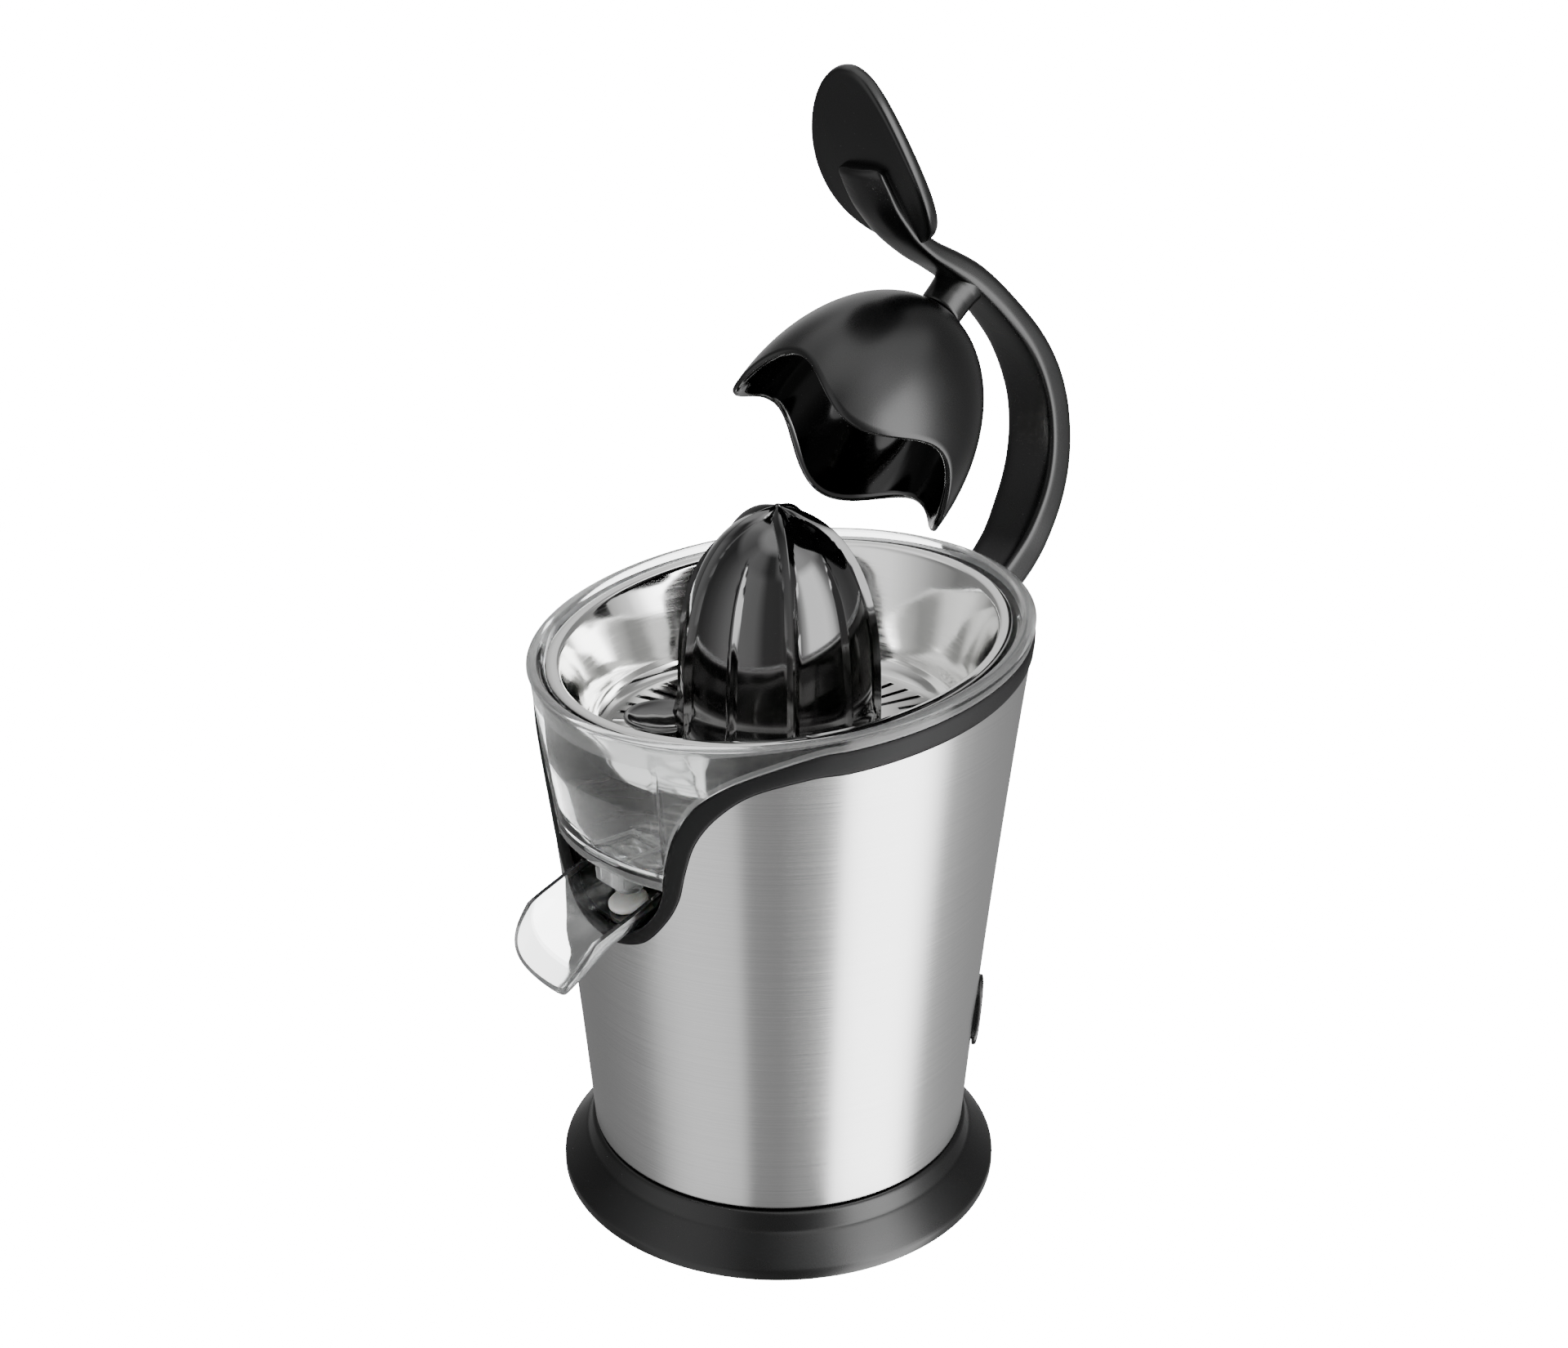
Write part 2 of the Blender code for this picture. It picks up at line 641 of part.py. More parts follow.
def make_cone():
    columns = 40
    levels = [0.0, 0.15, 0.4, 0.62, 0.8, 0.92, 0.975]
    turns = [CONE_TURN + math.tau * i / columns for i in range(columns)]
    height = CONE_TOP_Z - CONE_LOW_Z
    bm = bmesh.new()
    outer_rows = []
    inner_rows = []
    for level in levels:
        z = CONE_LOW_Z + height * level
        crest = cone_radius(z)
        outer_rows.append([
            bm.verts.new(polar(crest - min(rib_depth(turn, z), crest * 0.3), turn, z)) for turn in turns
        ])
        inner = max(crest * 0.93 - 0.0062, 0.0010)
        z_in = z - 0.0035 * level
        inner_rows.append([bm.verts.new(polar(inner, turn, z_in)) for turn in turns])
    tip = bm.verts.new((0, 0, CONE_TOP_Z + 0.0008))
    inner_tip = bm.verts.new((0, 0, CONE_TOP_Z - 0.0062))
    for rows, pole in ((outer_rows, tip), (inner_rows, inner_tip)):
        for low, high in zip(rows, rows[1:]):
            bridge(bm, low, high)
        fan(bm, rows[-1], pole)
    bridge(bm, outer_rows[0], inner_rows[0])
    cone = finish_mesh("reamer_cone", bm, GLOSS_BLACK)
    join(cone, rod("cone_socket", (0, 0, CONE_LOW_Z), (0, 0, 0.2530), 0.0078, sides=24))
    bore_top = SHAFT_TOP_Z + 0.0006
    cut(cone, rod("socket_bore", (0, 0, CONE_LOW_Z - 0.002), (0, 0, bore_top), SHAFT_R + 0.0006, sides=6))
    join(cone, make_wing())


def make_wing():
    """Oval paddle lying just over the strainer, to one side of the cone."""
    out = polar(1.0, WING_TURN, 0.0)
    side = Vector((0, 0, 1)).cross(out)
    centre = out * WING_REACH + Vector((0, 0, CONE_LOW_Z + 0.0012))
    sections = []
    for z, grow in ((-0.0011, 0.90), (0.0, 1.0), (0.0011, 0.97)):
        loop = []
        for i in range(28):
            a = math.tau * i / 28
            flat = out * WING_HALF_L * math.cos(a) + side * WING_HALF_W * math.sin(a)
            loop.append(centre + flat * grow + Vector((0, 0, z)))
        sections.append(loop)
    return tube_loft("cone_wing", sections, None, CUTTERS)


# ---- drive train ----


def gear_outline(teeth, module, phase):
    """Teeth with straight flanks, thin enough to run with backlash."""
    pitch = teeth * module / 2
    root, tip = pitch - 1.15 * module, pitch + 0.85 * module
    step = math.tau / teeth
    points = []
    for i in range(teeth):
        middle = phase + step * i
        for share, radius in ((-0.30, root), (-0.115, tip), (0.115, tip), (0.30, root)):
            a = middle + share * step
            points.append((radius * math.cos(a), radius * math.sin(a)))
    return points


def gear(name, teeth, module, phase, at, low, high, finish=None, group=CUTTERS):
    outline = gear_outline(teeth, module, phase)
    sections = [[Vector((at[0] + x, at[1] + y, z)) for x, y in outline] for z in (low, high)]
    return tube_loft(name, sections, finish, group)


def line_angle(here, there):
    """Direction of the line between two wheels, where a tooth of the one must face a gap of the other."""
    return math.atan2(there[1] - here[1], there[0] - here[0])


def make_drive():
    motor, idler, centre = (MOTOR_X, MOTOR_Y), (IDLER_X, IDLER_Y), (0.0, 0.0)
    make_motor(motor, line_angle(motor, idler))
    big_phase = line_angle(idler, motor) + math.pi / TEETH_IDLER_BIG
    idler_gear = gear("idler_gear", TEETH_IDLER_BIG, MODULE_FAST, big_phase, idler, IDLER_LOW_Z, IDLER_STEP_Z,
                      NYLON, PARTS)
    join(idler_gear, gear("idler_pinion", TEETH_IDLER_SMALL, MODULE_SLOW, line_angle(idler, centre), idler,
                          IDLER_STEP_Z - 0.0005, IDLER_TOP_Z))
    cut(idler_gear, rod("idler_bore", (*idler, 0.095), (*idler, 0.118), AXLE_R + GAP, sides=16))
    rod("idler_axle", (*idler, TRAY_Z + TRAY_T + GAP), (*idler, 0.1140), AXLE_R, STEEL, PARTS, sides=16)
    out_phase = line_angle(centre, idler) + math.pi / TEETH_OUTPUT
    output = gear("output_gear", TEETH_OUTPUT, MODULE_SLOW, out_phase, centre, OUTPUT_LOW_Z, OUTPUT_TOP_Z,
                  NYLON, PARTS)
    cut(output, rod("output_bore", (0, 0, 0.104), (0, 0, 0.115), SHAFT_R + 0.00045, sides=6))
    make_gear_case(motor)


def make_motor(at, phase):
    rotor = turned("motor_rotor", [
        (0.0, 0.1052), (ROTOR_SHAFT_R, 0.1052), (ROTOR_SHAFT_R, 0.0860), (ROTOR_R, 0.0860), (ROTOR_R, 0.0480),
        (ROTOR_SHAFT_R, 0.0480), (ROTOR_SHAFT_R, 0.0360), (0.0, 0.0360),
    ], STEEL, steps=24, at=at)
    join(rotor, gear("motor_pinion", TEETH_MOTOR, MODULE_FAST, phase, at, PINION_LOW_Z, PINION_TOP_Z))
    eye = ROTOR_SHAFT_R + 0.0006
    turned("motor_stator", [
        (eye, TRAY_Z - GAP), (MOTOR_R, TRAY_Z - GAP), (MOTOR_R, MOTOR_LOW_Z), (eye, MOTOR_LOW_Z),
        (eye, 0.0440), (ROTOR_R + 0.0010, 0.0440), (ROTOR_R + 0.0010, 0.0900), (eye, 0.0900),
    ], STEEL, steps=24, at=at)


def make_gear_case(motor):
    """Round tray that carries the motor and the gears, and the cover over them."""
    tray_top = TRAY_Z + TRAY_T
    tray = turned("gear_tray", [(0.0, tray_top), (TRAY_R, tray_top), (TRAY_R, TRAY_Z), (0.0, TRAY_Z)],
                  SATIN_BLACK, steps=32)
    cut(tray, rod("tray_motor_hole", (*motor, 0.09), (*motor, 0.10), 0.0070, sides=20))
    turned("gear_cover", [
        (0.0078, COVER_TOP_Z), (COVER_R - 0.0012, COVER_TOP_Z), (COVER_R, COVER_TOP_Z - 0.0012),
        (COVER_R, tray_top + GAP), (COVER_R - 0.0014, tray_top + GAP),
        (COVER_R - 0.0014, COVER_TOP_Z - 0.0018), (0.0078, COVER_TOP_Z - 0.0018),
    ], SATIN_BLACK, steps=32)


def make_spindle():
    shaft = rod("drive_shaft", (0, 0, SHAFT_LOW_Z), (0, 0, SHAFT_TOP_Z), SHAFT_R, STEEL, PARTS, sides=6)
    join(shaft, rod("shaft_round", (0, 0, 0.1150), (0, 0, 0.1700), SHAFT_R + 0.0001, sides=20))
    join(shaft, rod("shaft_flange", (0, 0, 0.1208), (0, 0, 0.1230), 0.0065, sides=20))
    turned("thrust_sleeve", [
        (SLEEVE_R, SLEEVE_TOP_Z), (SLEEVE_R, COLLAR_Z + 0.0025), (COLLAR_R, COLLAR_Z + 0.0025),
        (COLLAR_R, COLLAR_Z), (SLEEVE_R, COLLAR_Z), (SLEEVE_R, SLEEVE_LOW_Z), (0.0045, SLEEVE_LOW_Z),
        (0.0045, SLEEVE_TOP_Z),
    ], NYLON, steps=24)
    turned("shaft_seal", [
        (0.0102, CHIMNEY_TOP_Z + 0.0028), (0.0102, CHIMNEY_TOP_Z + GAP), (0.0046, CHIMNEY_TOP_Z + GAP),
        (0.0046, CHIMNEY_TOP_Z + 0.0016), (0.0070, CHIMNEY_TOP_Z + 0.0028),
    ], RUBBER, steps=24)
    make_spring()
    switch = box("micro_switch", (-0.0290, -0.0035, COVER_TOP_Z + GAP), (-0.0125, 0.0035, 0.1262),
                 SATIN_BLACK, PARTS, 0.0004)
    join(switch, box("switch_plunger", (-0.0160, -0.0012, 0.1250), (-0.0130, 0.0012, 0.1275)))


def make_spring():
    """Return spring under the sleeve's collar, a helix with closed ends."""
    low = COVER_TOP_Z + GAP + SPRING_WIRE_R
    high = COLLAR_Z - GAP - SPRING_WIRE_R
    curve = bpy.data.curves.new("press_spring", "CURVE")
    curve.dimensions = "3D"
    curve.bevel_depth = SPRING_WIRE_R
    curve.bevel_resolution = 0
    curve.use_fill_caps = True
    line = curve.splines.new("POLY")
    count = 46
    line.points.add(count - 1)
    for i in range(count):
        t = i / (count - 1)
        a = math.tau * SPRING_TURNS * t
        line.points[i].co = (SPRING_R * math.cos(a), SPRING_R * math.sin(a), low + (high - low) * t, 1.0)
    curve.materials.append(STEEL)
    PARTS.objects.link(bpy.data.objects.new("press_spring", curve))


# ---- spout ----


def trough_loop(y, rim, bottom, half, index):
    """Outer U from rim to rim and back along the inside; the lip's middle reaches further out."""
    sides = 12
    share = index / (len(TROUGH) - 1)
    flare = LIP_REACH * share**4
    power = 2 / (2.5 - 0.5 * share)
    outer, inner = [], []
    for i in range(sides + 1):
        a = math.pi * i / sides
        x, down = math.cos(a), math.sin(a)
        ux = math.copysign(abs(x) ** power, x)
        uz = down**power
        reach = -flare * math.sin(math.pi * 0.75 * uz)
        outer.append(Vector((half * ux, y + reach, rim - (rim - bottom) * uz)))
        inner_z = rim - (rim - bottom - TROUGH_WALL) * uz
        inner.append(Vector(((half - TROUGH_WALL) * ux, y + reach, inner_z)))
    return outer + list(reversed(inner))


def make_spout():
    loops = [trough_loop(*station, i) for i, station in enumerate(TROUGH)]
    trough = tube_loft("spout_trough", loops, CLEAR)
    hinge = Vector((0, SPOUT_HINGE_Y, SPOUT_HINGE_Z))
    wide = Vector((BARREL_HALF, 0, 0))
    join(trough, rod("spout_barrel", hinge - wide, hinge + wide, BARREL_R, sides=16))
    cut(trough, rod("spout_bore", hinge - wide * 2, hinge + wide * 2, SPOUT_PIN_R + 0.0004, sides=12))
    pin_half = Vector((WELL_HALF - GAP, 0, 0))
    rod("spout_pin", hinge - pin_half, hinge + pin_half, SPOUT_PIN_R, STEEL, PARTS, sides=12)
    seat = Vector((0, OUTLET_Y, PLUG_LOW_Z))
    rise = Vector((0, -math.sin(PLUG_TILT), math.cos(PLUG_TILT)))
    top = seat + rise * PLUG_T
    rod("drip_plug", seat, top, PLUG_R, SILICONE, PARTS, sides=24, end_radius=PLUG_R - 0.0006)


# ---- lever arm, palm rest and press dome ----


def rounded_section(centre, across, thickness, half):
    """Soft rectangle: X is its width, across is its thickness direction."""
    loop = []
    for i in range(16):
        a = math.tau * (i + 0.5) / 16
        power = 2 / 3.4
        x = math.copysign(abs(math.cos(a)) ** power, math.cos(a))
        t = math.copysign(abs(math.sin(a)) ** power, math.sin(a))
        loop.append(centre + Vector((half * x, 0, 0)) + across * thickness / 2 * t)
    return loop


def arm_sections(first=0, grow=0.0):
    """Sections along the arm, from one of its stations to the tip of its tongue."""
    line = [Vector(p) for p in ARM_LINE]
    sections = []
    for i in range(first, len(line)):
        before, after = line[max(i - 1, 0)], line[min(i + 1, len(line) - 1)]
        along = Vector((0, after[0] - before[0], after[1] - before[1])).normalized()
        across = Vector((0, along.z, -along.y))
        centre = Vector((0, line[i][0], line[i][1]))
        if i == len(line) - 1:
            centre = centre + along * grow
        sections.append(rounded_section(centre, across, line[i][2] + 2 * grow, line[i][3] + grow))
    return sections


def make_arm():
    arm = tube_loft("lever_arm", arm_sections(), SATIN_BLACK)
    join(arm, rod("arm_hub", on_hinge(-ARM_HALF), on_hinge(ARM_HALF), HUB_R, sides=20))
    cut(arm, rod("hub_bore", on_hinge(-ARM_HALF * 2), on_hinge(ARM_HALF * 2), PIN_R + GAP, sides=16))
    up = Vector((0, math.sin(DOME_TILT), math.cos(DOME_TILT)))
    stub_low, stub_top = DOME_APEX + up * 0.0007, DOME_APEX + up * 0.0140
    join(arm, rod("dome_stub", stub_low, stub_top, STUB_R, sides=24, end_radius=STUB_R + 0.0008))
    ball = DOME_APEX + up * BALL_UP
    cut(arm, sphere("ball_socket", ball, BALL_R + GAP))
    cut(arm, rod("socket_mouth", DOME_APEX - up * 0.002, ball, 0.0040, sides=20))


def sphere(name, centre, radius, finish=None, group=CUTTERS):
    bm = bmesh.new()
    place = Matrix.Translation(centre)
    bmesh.ops.create_uvsphere(bm, u_segments=20, v_segments=12, radius=radius, matrix=place)
    return finish_mesh(name, bm, finish, group)


def dome_edge(turn):
    return DOME_EDGE - DOME_WAVE * math.cos(4 * turn)


def dome_radius(depth):
    return DOME_R * math.sqrt(max(0.0, 1 - (1 - depth / DOME_H) ** 2))


def make_dome():
    """Scalloped bell: rows of points down each meridian, thickened inwards."""
    place = Matrix.Translation(DOME_APEX) @ Matrix.Rotation(-DOME_TILT, 4, "X")
    columns, rows = 40, 8
    bm = bmesh.new()
    pole = bm.verts.new(place @ Vector((0, 0, 0)))
    grid = []
    for j in range(1, rows + 1):
        share = (j / rows) ** 1.5
        ring = []
        for i in range(columns):
            turn = math.tau * i / columns
            depth = dome_edge(turn) * share
            ring.append(bm.verts.new(place @ polar(dome_radius(depth), turn, -depth)))
        grid.append(ring)
    fan(bm, grid[0], pole)
    for above, below in zip(grid, grid[1:]):
        bridge(bm, above, below)
    dome = finish_mesh("press_dome", bm, SATIN_BLACK)
    thick = dome.modifiers.new("wall", "SOLIDIFY")
    thick.thickness = DOME_WALL
    thick.offset = -1.0
    up = Vector((0, math.sin(DOME_TILT), math.cos(DOME_TILT)))
    ball = DOME_APEX + up * BALL_UP
    join(dome, rod("dome_neck", DOME_APEX - up * 0.0012, ball, NECK_R, sides=16))
    join(dome, sphere("dome_ball", ball, BALL_R))


def make_palm_rest():
    """Leaf-shaped plate, wider near its base and bowed along its length."""
    along = Vector((0, -math.sin(PAD_LEAN), math.cos(PAD_LEAN)))
    front = Vector((0, -math.cos(PAD_LEAN), -math.sin(PAD_LEAN)))
    quarter = ((1.0, 0.26), (0.95, 0.5), (0.52, 0.5))
    outline = [*quarter, (0.0, 0.5)]
    outline += [(-u, lift) for u, lift in reversed(quarter)] + [(-u, -lift) for u, lift in quarter]
    outline += [(0.0, -0.5)] + [(u, -lift) for u, lift in reversed(quarter)]
    sections = []
    for i in range(17):
        a = math.pi * (0.035 + 0.93 * i / 16)
        share = 0.5 - 0.5 * math.cos(a)
        half = PAD_HALF * math.sin(a) ** 0.9 * (1 - 0.17 * (2 * share - 1))
        thin = PAD_T * (1 - 0.35 * abs(2 * share - 1) ** 8)
        centre = PAD_BASE + along * PAD_LENGTH * share + front * PAD_BOW * 4 * share * (1 - share)
        sections.append([centre + Vector((half * u, 0, 0)) + front * thin * lift for u, lift in outline])
    rest = tube_loft("palm_rest", sections, SATIN_BLACK)
    cut(rest, tube_loft("tongue_room", arm_sections(TONGUE_FROM, 0.0004), None, CUTTERS))


# ---- lever hinge at the back ----


def make_hinge():
    turns = [math.pi + BRACKET_SPAN * (i / 6 - 1) for i in range(13)]
    heights = (BRACKET_LOW_Z, (BRACKET_LOW_Z + BRACKET_TOP_Z) / 2, BRACKET_TOP_Z)
    sections = []
    for turn in turns:
        inner = [polar(drum_radius(z) + GAP, turn, z) for z in heights]
        outer = [Vector((p.x, max(p.y + 0.0016, BRACKET_Y), p.z)) for p in reversed(inner)]
        sections.append(inner + outer)
    bracket = tube_loft("hinge_bracket", sections, SATIN_BLACK)
    near = ARM_HALF + EAR_CLEAR
    far = near + EAR_T
    cut(bracket, rod("hub_room", on_hinge(-near), on_hinge(near), HUB_R + EAR_CLEAR, sides=20))
    for side, label in ((-1, "left"), (1, "right")):
        join(bracket, rod(f"ear_round_{label}", on_hinge(side * near), on_hinge(side * far), HUB_R, sides=20))
        web_low = (min(side * near, side * far), 0.0885, EAR_FOOT_Z)
        web_high = (max(side * near, side * far), HINGE_Y + 0.0040, HINGE_Z)
        join(bracket, box(f"ear_web_{label}", web_low, web_high))
        cap_in, cap_out = on_hinge(side * (far + GAP)), on_hinge(side * (far + GAP + CAP_T))
        rod(f"pin_cap_{label}", cap_in, cap_out, CAP_R, STEEL, PARTS, sides=20, end_radius=CAP_R - 0.0008)
    cut(bracket, rod("ear_bore", on_hinge(-far * 2), on_hinge(far * 2), PIN_R + GAP, sides=16))
    rod("hinge_pin", on_hinge(-far), on_hinge(far), PIN_R, STEEL, PARTS, sides=16)


def on_hinge(x):
    """Point on the lever's hinge axis."""
    return Vector((x, HINGE_Y, HINGE_Z))


# ---- switch and cord inlet ----


def switch_face():
    """Point on the drum where the switch sits, and the outward normal there."""
    slope = DRUM_TAPER + 2 * DRUM_FLARE * (SWITCH_Z - DRUM_FOOT_Z)
    out = polar(1.0, SWITCH_TURN, -slope).normalized()
    return polar(drum_radius(SWITCH_Z), SWITCH_TURN, SWITCH_Z), out


def make_switch():
    face, out = switch_face()
    wide, tall = SWITCH_HALF_W, SWITCH_HALF_H
    bezel = oval_prism("switch_bezel", face + out * 0.0004, out, wide, tall, 0.0016, SATIN_BLACK, PARTS)
    join(bezel, oval_prism("bezel_neck", face - out * 0.0080, out, wide - 0.0020, tall - 0.0020, 0.0090))
    cut(bezel, oval_prism("rocker_room", face - out * 0.0070, out, wide - 0.0036, tall - 0.0036, 0.0200))
    rocker = oval_prism("power_rocker", face - out * 0.0044, out, wide - 0.0046, tall - 0.0052, 0.0068,
                        GLOSS_BLACK, PARTS)
    side = Vector((0, 0, 1)).cross(out).normalized() * 0.012
    dish = face + out * 0.0148
    cut(rocker, rod("rocker_dish", dish - side, dish + side, 0.0130, sides=48))


def make_gland():
    y = drum_radius(GLAND_Z)
    gland = turned("cord_gland", [
        (0.0085, 0.0028), (0.0085, 0.0012), (GLAND_R - 0.0002, 0.0012), (GLAND_R - 0.0002, -0.0060),
        (0.0034, -0.0060), (0.0034, 0.0028),
    ], RUBBER, steps=24)
    gland.rotation_euler = (math.radians(-90), 0, 0)
    gland.location = (0, y, GLAND_Z)


make_base()
make_shell()
make_trim()
make_deck()
make_well()
make_bowl()
make_strainer()
make_cone()
make_drive()
make_spindle()
make_spout()
make_arm()
make_dome()
make_palm_rest()
make_hinge()
make_switch()
make_gland()
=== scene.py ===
"""Looks of the citrus press juicer: detailed pieces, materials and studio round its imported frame."""

import math

import bmesh
import bpy
from mathutils import Matrix, Vector


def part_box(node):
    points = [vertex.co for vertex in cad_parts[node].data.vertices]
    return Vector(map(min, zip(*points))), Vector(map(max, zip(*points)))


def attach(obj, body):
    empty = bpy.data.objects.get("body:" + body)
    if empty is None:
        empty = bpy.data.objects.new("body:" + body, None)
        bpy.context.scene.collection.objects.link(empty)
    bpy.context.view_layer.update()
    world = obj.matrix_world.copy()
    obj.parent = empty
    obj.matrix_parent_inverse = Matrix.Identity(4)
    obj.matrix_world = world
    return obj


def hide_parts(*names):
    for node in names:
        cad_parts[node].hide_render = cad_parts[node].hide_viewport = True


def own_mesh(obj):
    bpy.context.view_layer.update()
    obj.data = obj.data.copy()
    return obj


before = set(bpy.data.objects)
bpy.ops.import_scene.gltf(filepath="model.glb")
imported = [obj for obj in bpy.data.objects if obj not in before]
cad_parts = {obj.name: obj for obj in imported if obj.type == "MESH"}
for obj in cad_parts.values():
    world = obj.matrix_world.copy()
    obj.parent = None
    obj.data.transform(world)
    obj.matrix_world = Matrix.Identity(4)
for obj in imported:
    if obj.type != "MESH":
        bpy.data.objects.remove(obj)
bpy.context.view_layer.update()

# ---- camera ----

CAMERA_AT = Vector((0.4958, -0.4310, 0.4566))
CAMERA_LOOK = Vector((-0.6996, 0.6120, -0.3689))
CAMERA_LENS = 46.41
SENSOR = 36.0

# ---- dimensions shared with the frame, in metres ----

DRUM_FOOT_Z = 0.0224
DRUM_FOOT_R = 0.0695
DRUM_TAPER = 0.0748
DRUM_FLARE = 0.1185
SHEET = 0.0012
RIM_MID_Z = 0.2133
RIM_SLOPE = 0.1327
RIM_R = 0.0875
LIP_HEIGHT = 0.0053
TRIM_DEPTH = 0.0128
BASE_LOW_Z = 0.0012
BOWL_FLOOR_Z = 0.1500
BOWL_UNDER_Z = 0.1475
BOWL_WALL = 0.0024
BOWL_TUCK = 0.0036
OUTLET_Y = -0.0676
STRAINER_Z = 0.1753
STRAINER_T = 0.0012
SLOTS = 24
CONE_R = 0.0368
CONE_LOW_Z = 0.1785
CONE_TOP_Z = 0.2572
CONE_FULLNESS = 3.1
CONE_RIBS = 5
CORE_R = 0.0343
CORE_TOP_Z = 0.2552
FLARE_HEIGHT = 0.0085
RIB_SLOPE = 1.10
MINOR_TOP_Z = 0.2440
MINOR_RISE = 0.0021
CONE_TURN = math.radians(57.5)
WING_TURN = math.radians(-41.0)
HINGE_Y = 0.0955
HINGE_Z = 0.2029
HUB_R = 0.0078
ARM_HALF = 0.0108
EAR_T = 0.0050
DOME_R = 0.0428
DOME_H = 0.0627
DOME_WALL = 0.0025
DOME_EDGE = 0.0592
DOME_WAVE = 0.0070
DOME_TILT = math.radians(47.9)
DOME_APEX = Vector((0.0, 0.0750, 0.3130))
SPOUT_HINGE_Y = -0.0475
SPOUT_HINGE_Z = 0.1405
PLUG_LOW_Z = 0.1297
PLUG_TILT = math.radians(12.9)
PAD_BASE = Vector((0.0, 0.0594, 0.3396))
PAD_LEAN = math.radians(27.0)
PAD_LENGTH = 0.0664
PAD_HALF = 0.0236
PAD_BOW = 0.0054
SWITCH_TURN = math.radians(135.0)
SWITCH_Z = 0.0640
SWITCH_HALF_W = 0.0100
SWITCH_HALF_H = 0.0140
SWITCH_LAP = 0.0016
SWITCH_CUT = 0.012
GLAND_Z = 0.0400
SPRING_TURNS = 4.5
SPRING_WIRE_R = 0.0006
AROUND = 160
AXIS_R = 0.00001
MERGE = 0.00005

# ---- materials ----


def shader(name, colour, roughness, metallic=0.0):
    made = bpy.data.materials.new(name)
    made.use_nodes = True
    bsdf = made.node_tree.nodes["Principled BSDF"]
    bsdf.inputs["Base Color"].default_value = (*colour, 1.0)
    bsdf.inputs["Roughness"].default_value = roughness
    bsdf.inputs["Metallic"].default_value = metallic
    return made, bsdf


def stretched_noise(tree, stretch, scale, detail=3.0):
    """Noise in the row frame whose pattern is stretched by a factor for each axis."""
    place = tree.nodes.new("ShaderNodeTexCoord")
    mapping = tree.nodes.new("ShaderNodeMapping")
    mapping.inputs["Scale"].default_value = stretch
    noise = tree.nodes.new("ShaderNodeTexNoise")
    noise.inputs["Scale"].default_value = scale
    noise.inputs["Detail"].default_value = detail
    tree.links.new(place.outputs["Object"], mapping.inputs["Vector"])
    tree.links.new(mapping.outputs["Vector"], noise.inputs["Vector"])
    return noise.outputs["Fac"]


def spread(tree, value, low, high, start=0.3, end=0.7):
    """Map a noise value to a range of roughness or brightness."""
    node = tree.nodes.new("ShaderNodeMapRange")
    node.inputs["From Min"].default_value = start
    node.inputs["From Max"].default_value = end
    node.inputs["To Min"].default_value = low
    node.inputs["To Max"].default_value = high
    tree.links.new(value, node.inputs["Value"])
    return node.outputs["Result"]


def bump(tree, bsdf, value, strength, distance, below=None):
    node = tree.nodes.new("ShaderNodeBump")
    node.inputs["Strength"].default_value = strength
    node.inputs["Distance"].default_value = distance
    tree.links.new(value, node.inputs["Height"])
    if below is not None:
        tree.links.new(below, node.inputs["Normal"])
    tree.links.new(node.outputs["Normal"], bsdf.inputs["Normal"])
    return node.outputs["Normal"]


def tinted(tree, bsdf, value, dark, light):
    """Base colour that drifts between two tones with a noise value."""
    node = tree.nodes.new("ShaderNodeMix")
    node.data_type = "RGBA"
    node.inputs["A"].default_value = (*dark, 1.0)
    node.inputs["B"].default_value = (*light, 1.0)
    tree.links.new(value, node.inputs["Factor"])
    tree.links.new(node.outputs["Result"], bsdf.inputs["Base Color"])


def moulded(name, dark, light, rough_low, rough_high, grain=0.30, grain_scale=3200.0):
    """Moulded plastic: fine spark-eroded grain, faint cloudiness and uneven gloss."""
    made, bsdf = shader(name, dark, rough_low)
    tree = made.node_tree
    cloud = stretched_noise(tree, (1, 1, 1), 45.0, 2.0)
    tinted(tree, bsdf, spread(tree, cloud, 0.0, 1.0), dark, light)
    tree.links.new(spread(tree, cloud, rough_low, rough_high), bsdf.inputs["Roughness"])
    fine = stretched_noise(tree, (1, 1, 1), grain_scale, 2.0)
    bump(tree, bsdf, fine, grain, 0.00006)
    return made


def glossy(name, colour):
    """Polished moulding: deep gloss with a slow waviness."""
    made, bsdf = shader(name, colour, 0.07)
    bsdf.inputs["Specular IOR Level"].default_value = 0.85
    bsdf.inputs["Coat Weight"].default_value = 0.35
    bsdf.inputs["Coat Roughness"].default_value = 0.03
    tree = made.node_tree
    slow = stretched_noise(tree, (1, 1, 1), 60.0, 1.0)
    tree.links.new(spread(tree, slow, 0.05, 0.13), bsdf.inputs["Roughness"])
    bump(tree, bsdf, slow, 0.03, 0.0010)
    return made


def brushed(name, stretch, rough_low, rough_high, lean, scale=1.0):
    """Brushed steel: long fine streaks in tone, gloss and relief, with a stretched highlight."""
    made, bsdf = shader(name, (0.60, 0.60, 0.60), rough_low, 1.0)
    bsdf.inputs["Anisotropic"].default_value = 0.95
    bsdf.inputs["Anisotropic Rotation"].default_value = lean
    tree = made.node_tree
    tangent = tree.nodes.new("ShaderNodeTangent")
    tangent.direction_type = "RADIAL"
    tangent.axis = "Z"
    tree.links.new(tangent.outputs["Tangent"], bsdf.inputs["Tangent"])
    streak = stretched_noise(tree, stretch, scale, 4.0)
    tinted(tree, bsdf, spread(tree, streak, 0.0, 1.0), (0.57, 0.57, 0.572), (0.65, 0.65, 0.648))
    tree.links.new(spread(tree, streak, rough_low, rough_high), bsdf.inputs["Roughness"])
    bump(tree, bsdf, streak, 0.08, 0.00003)
    return made


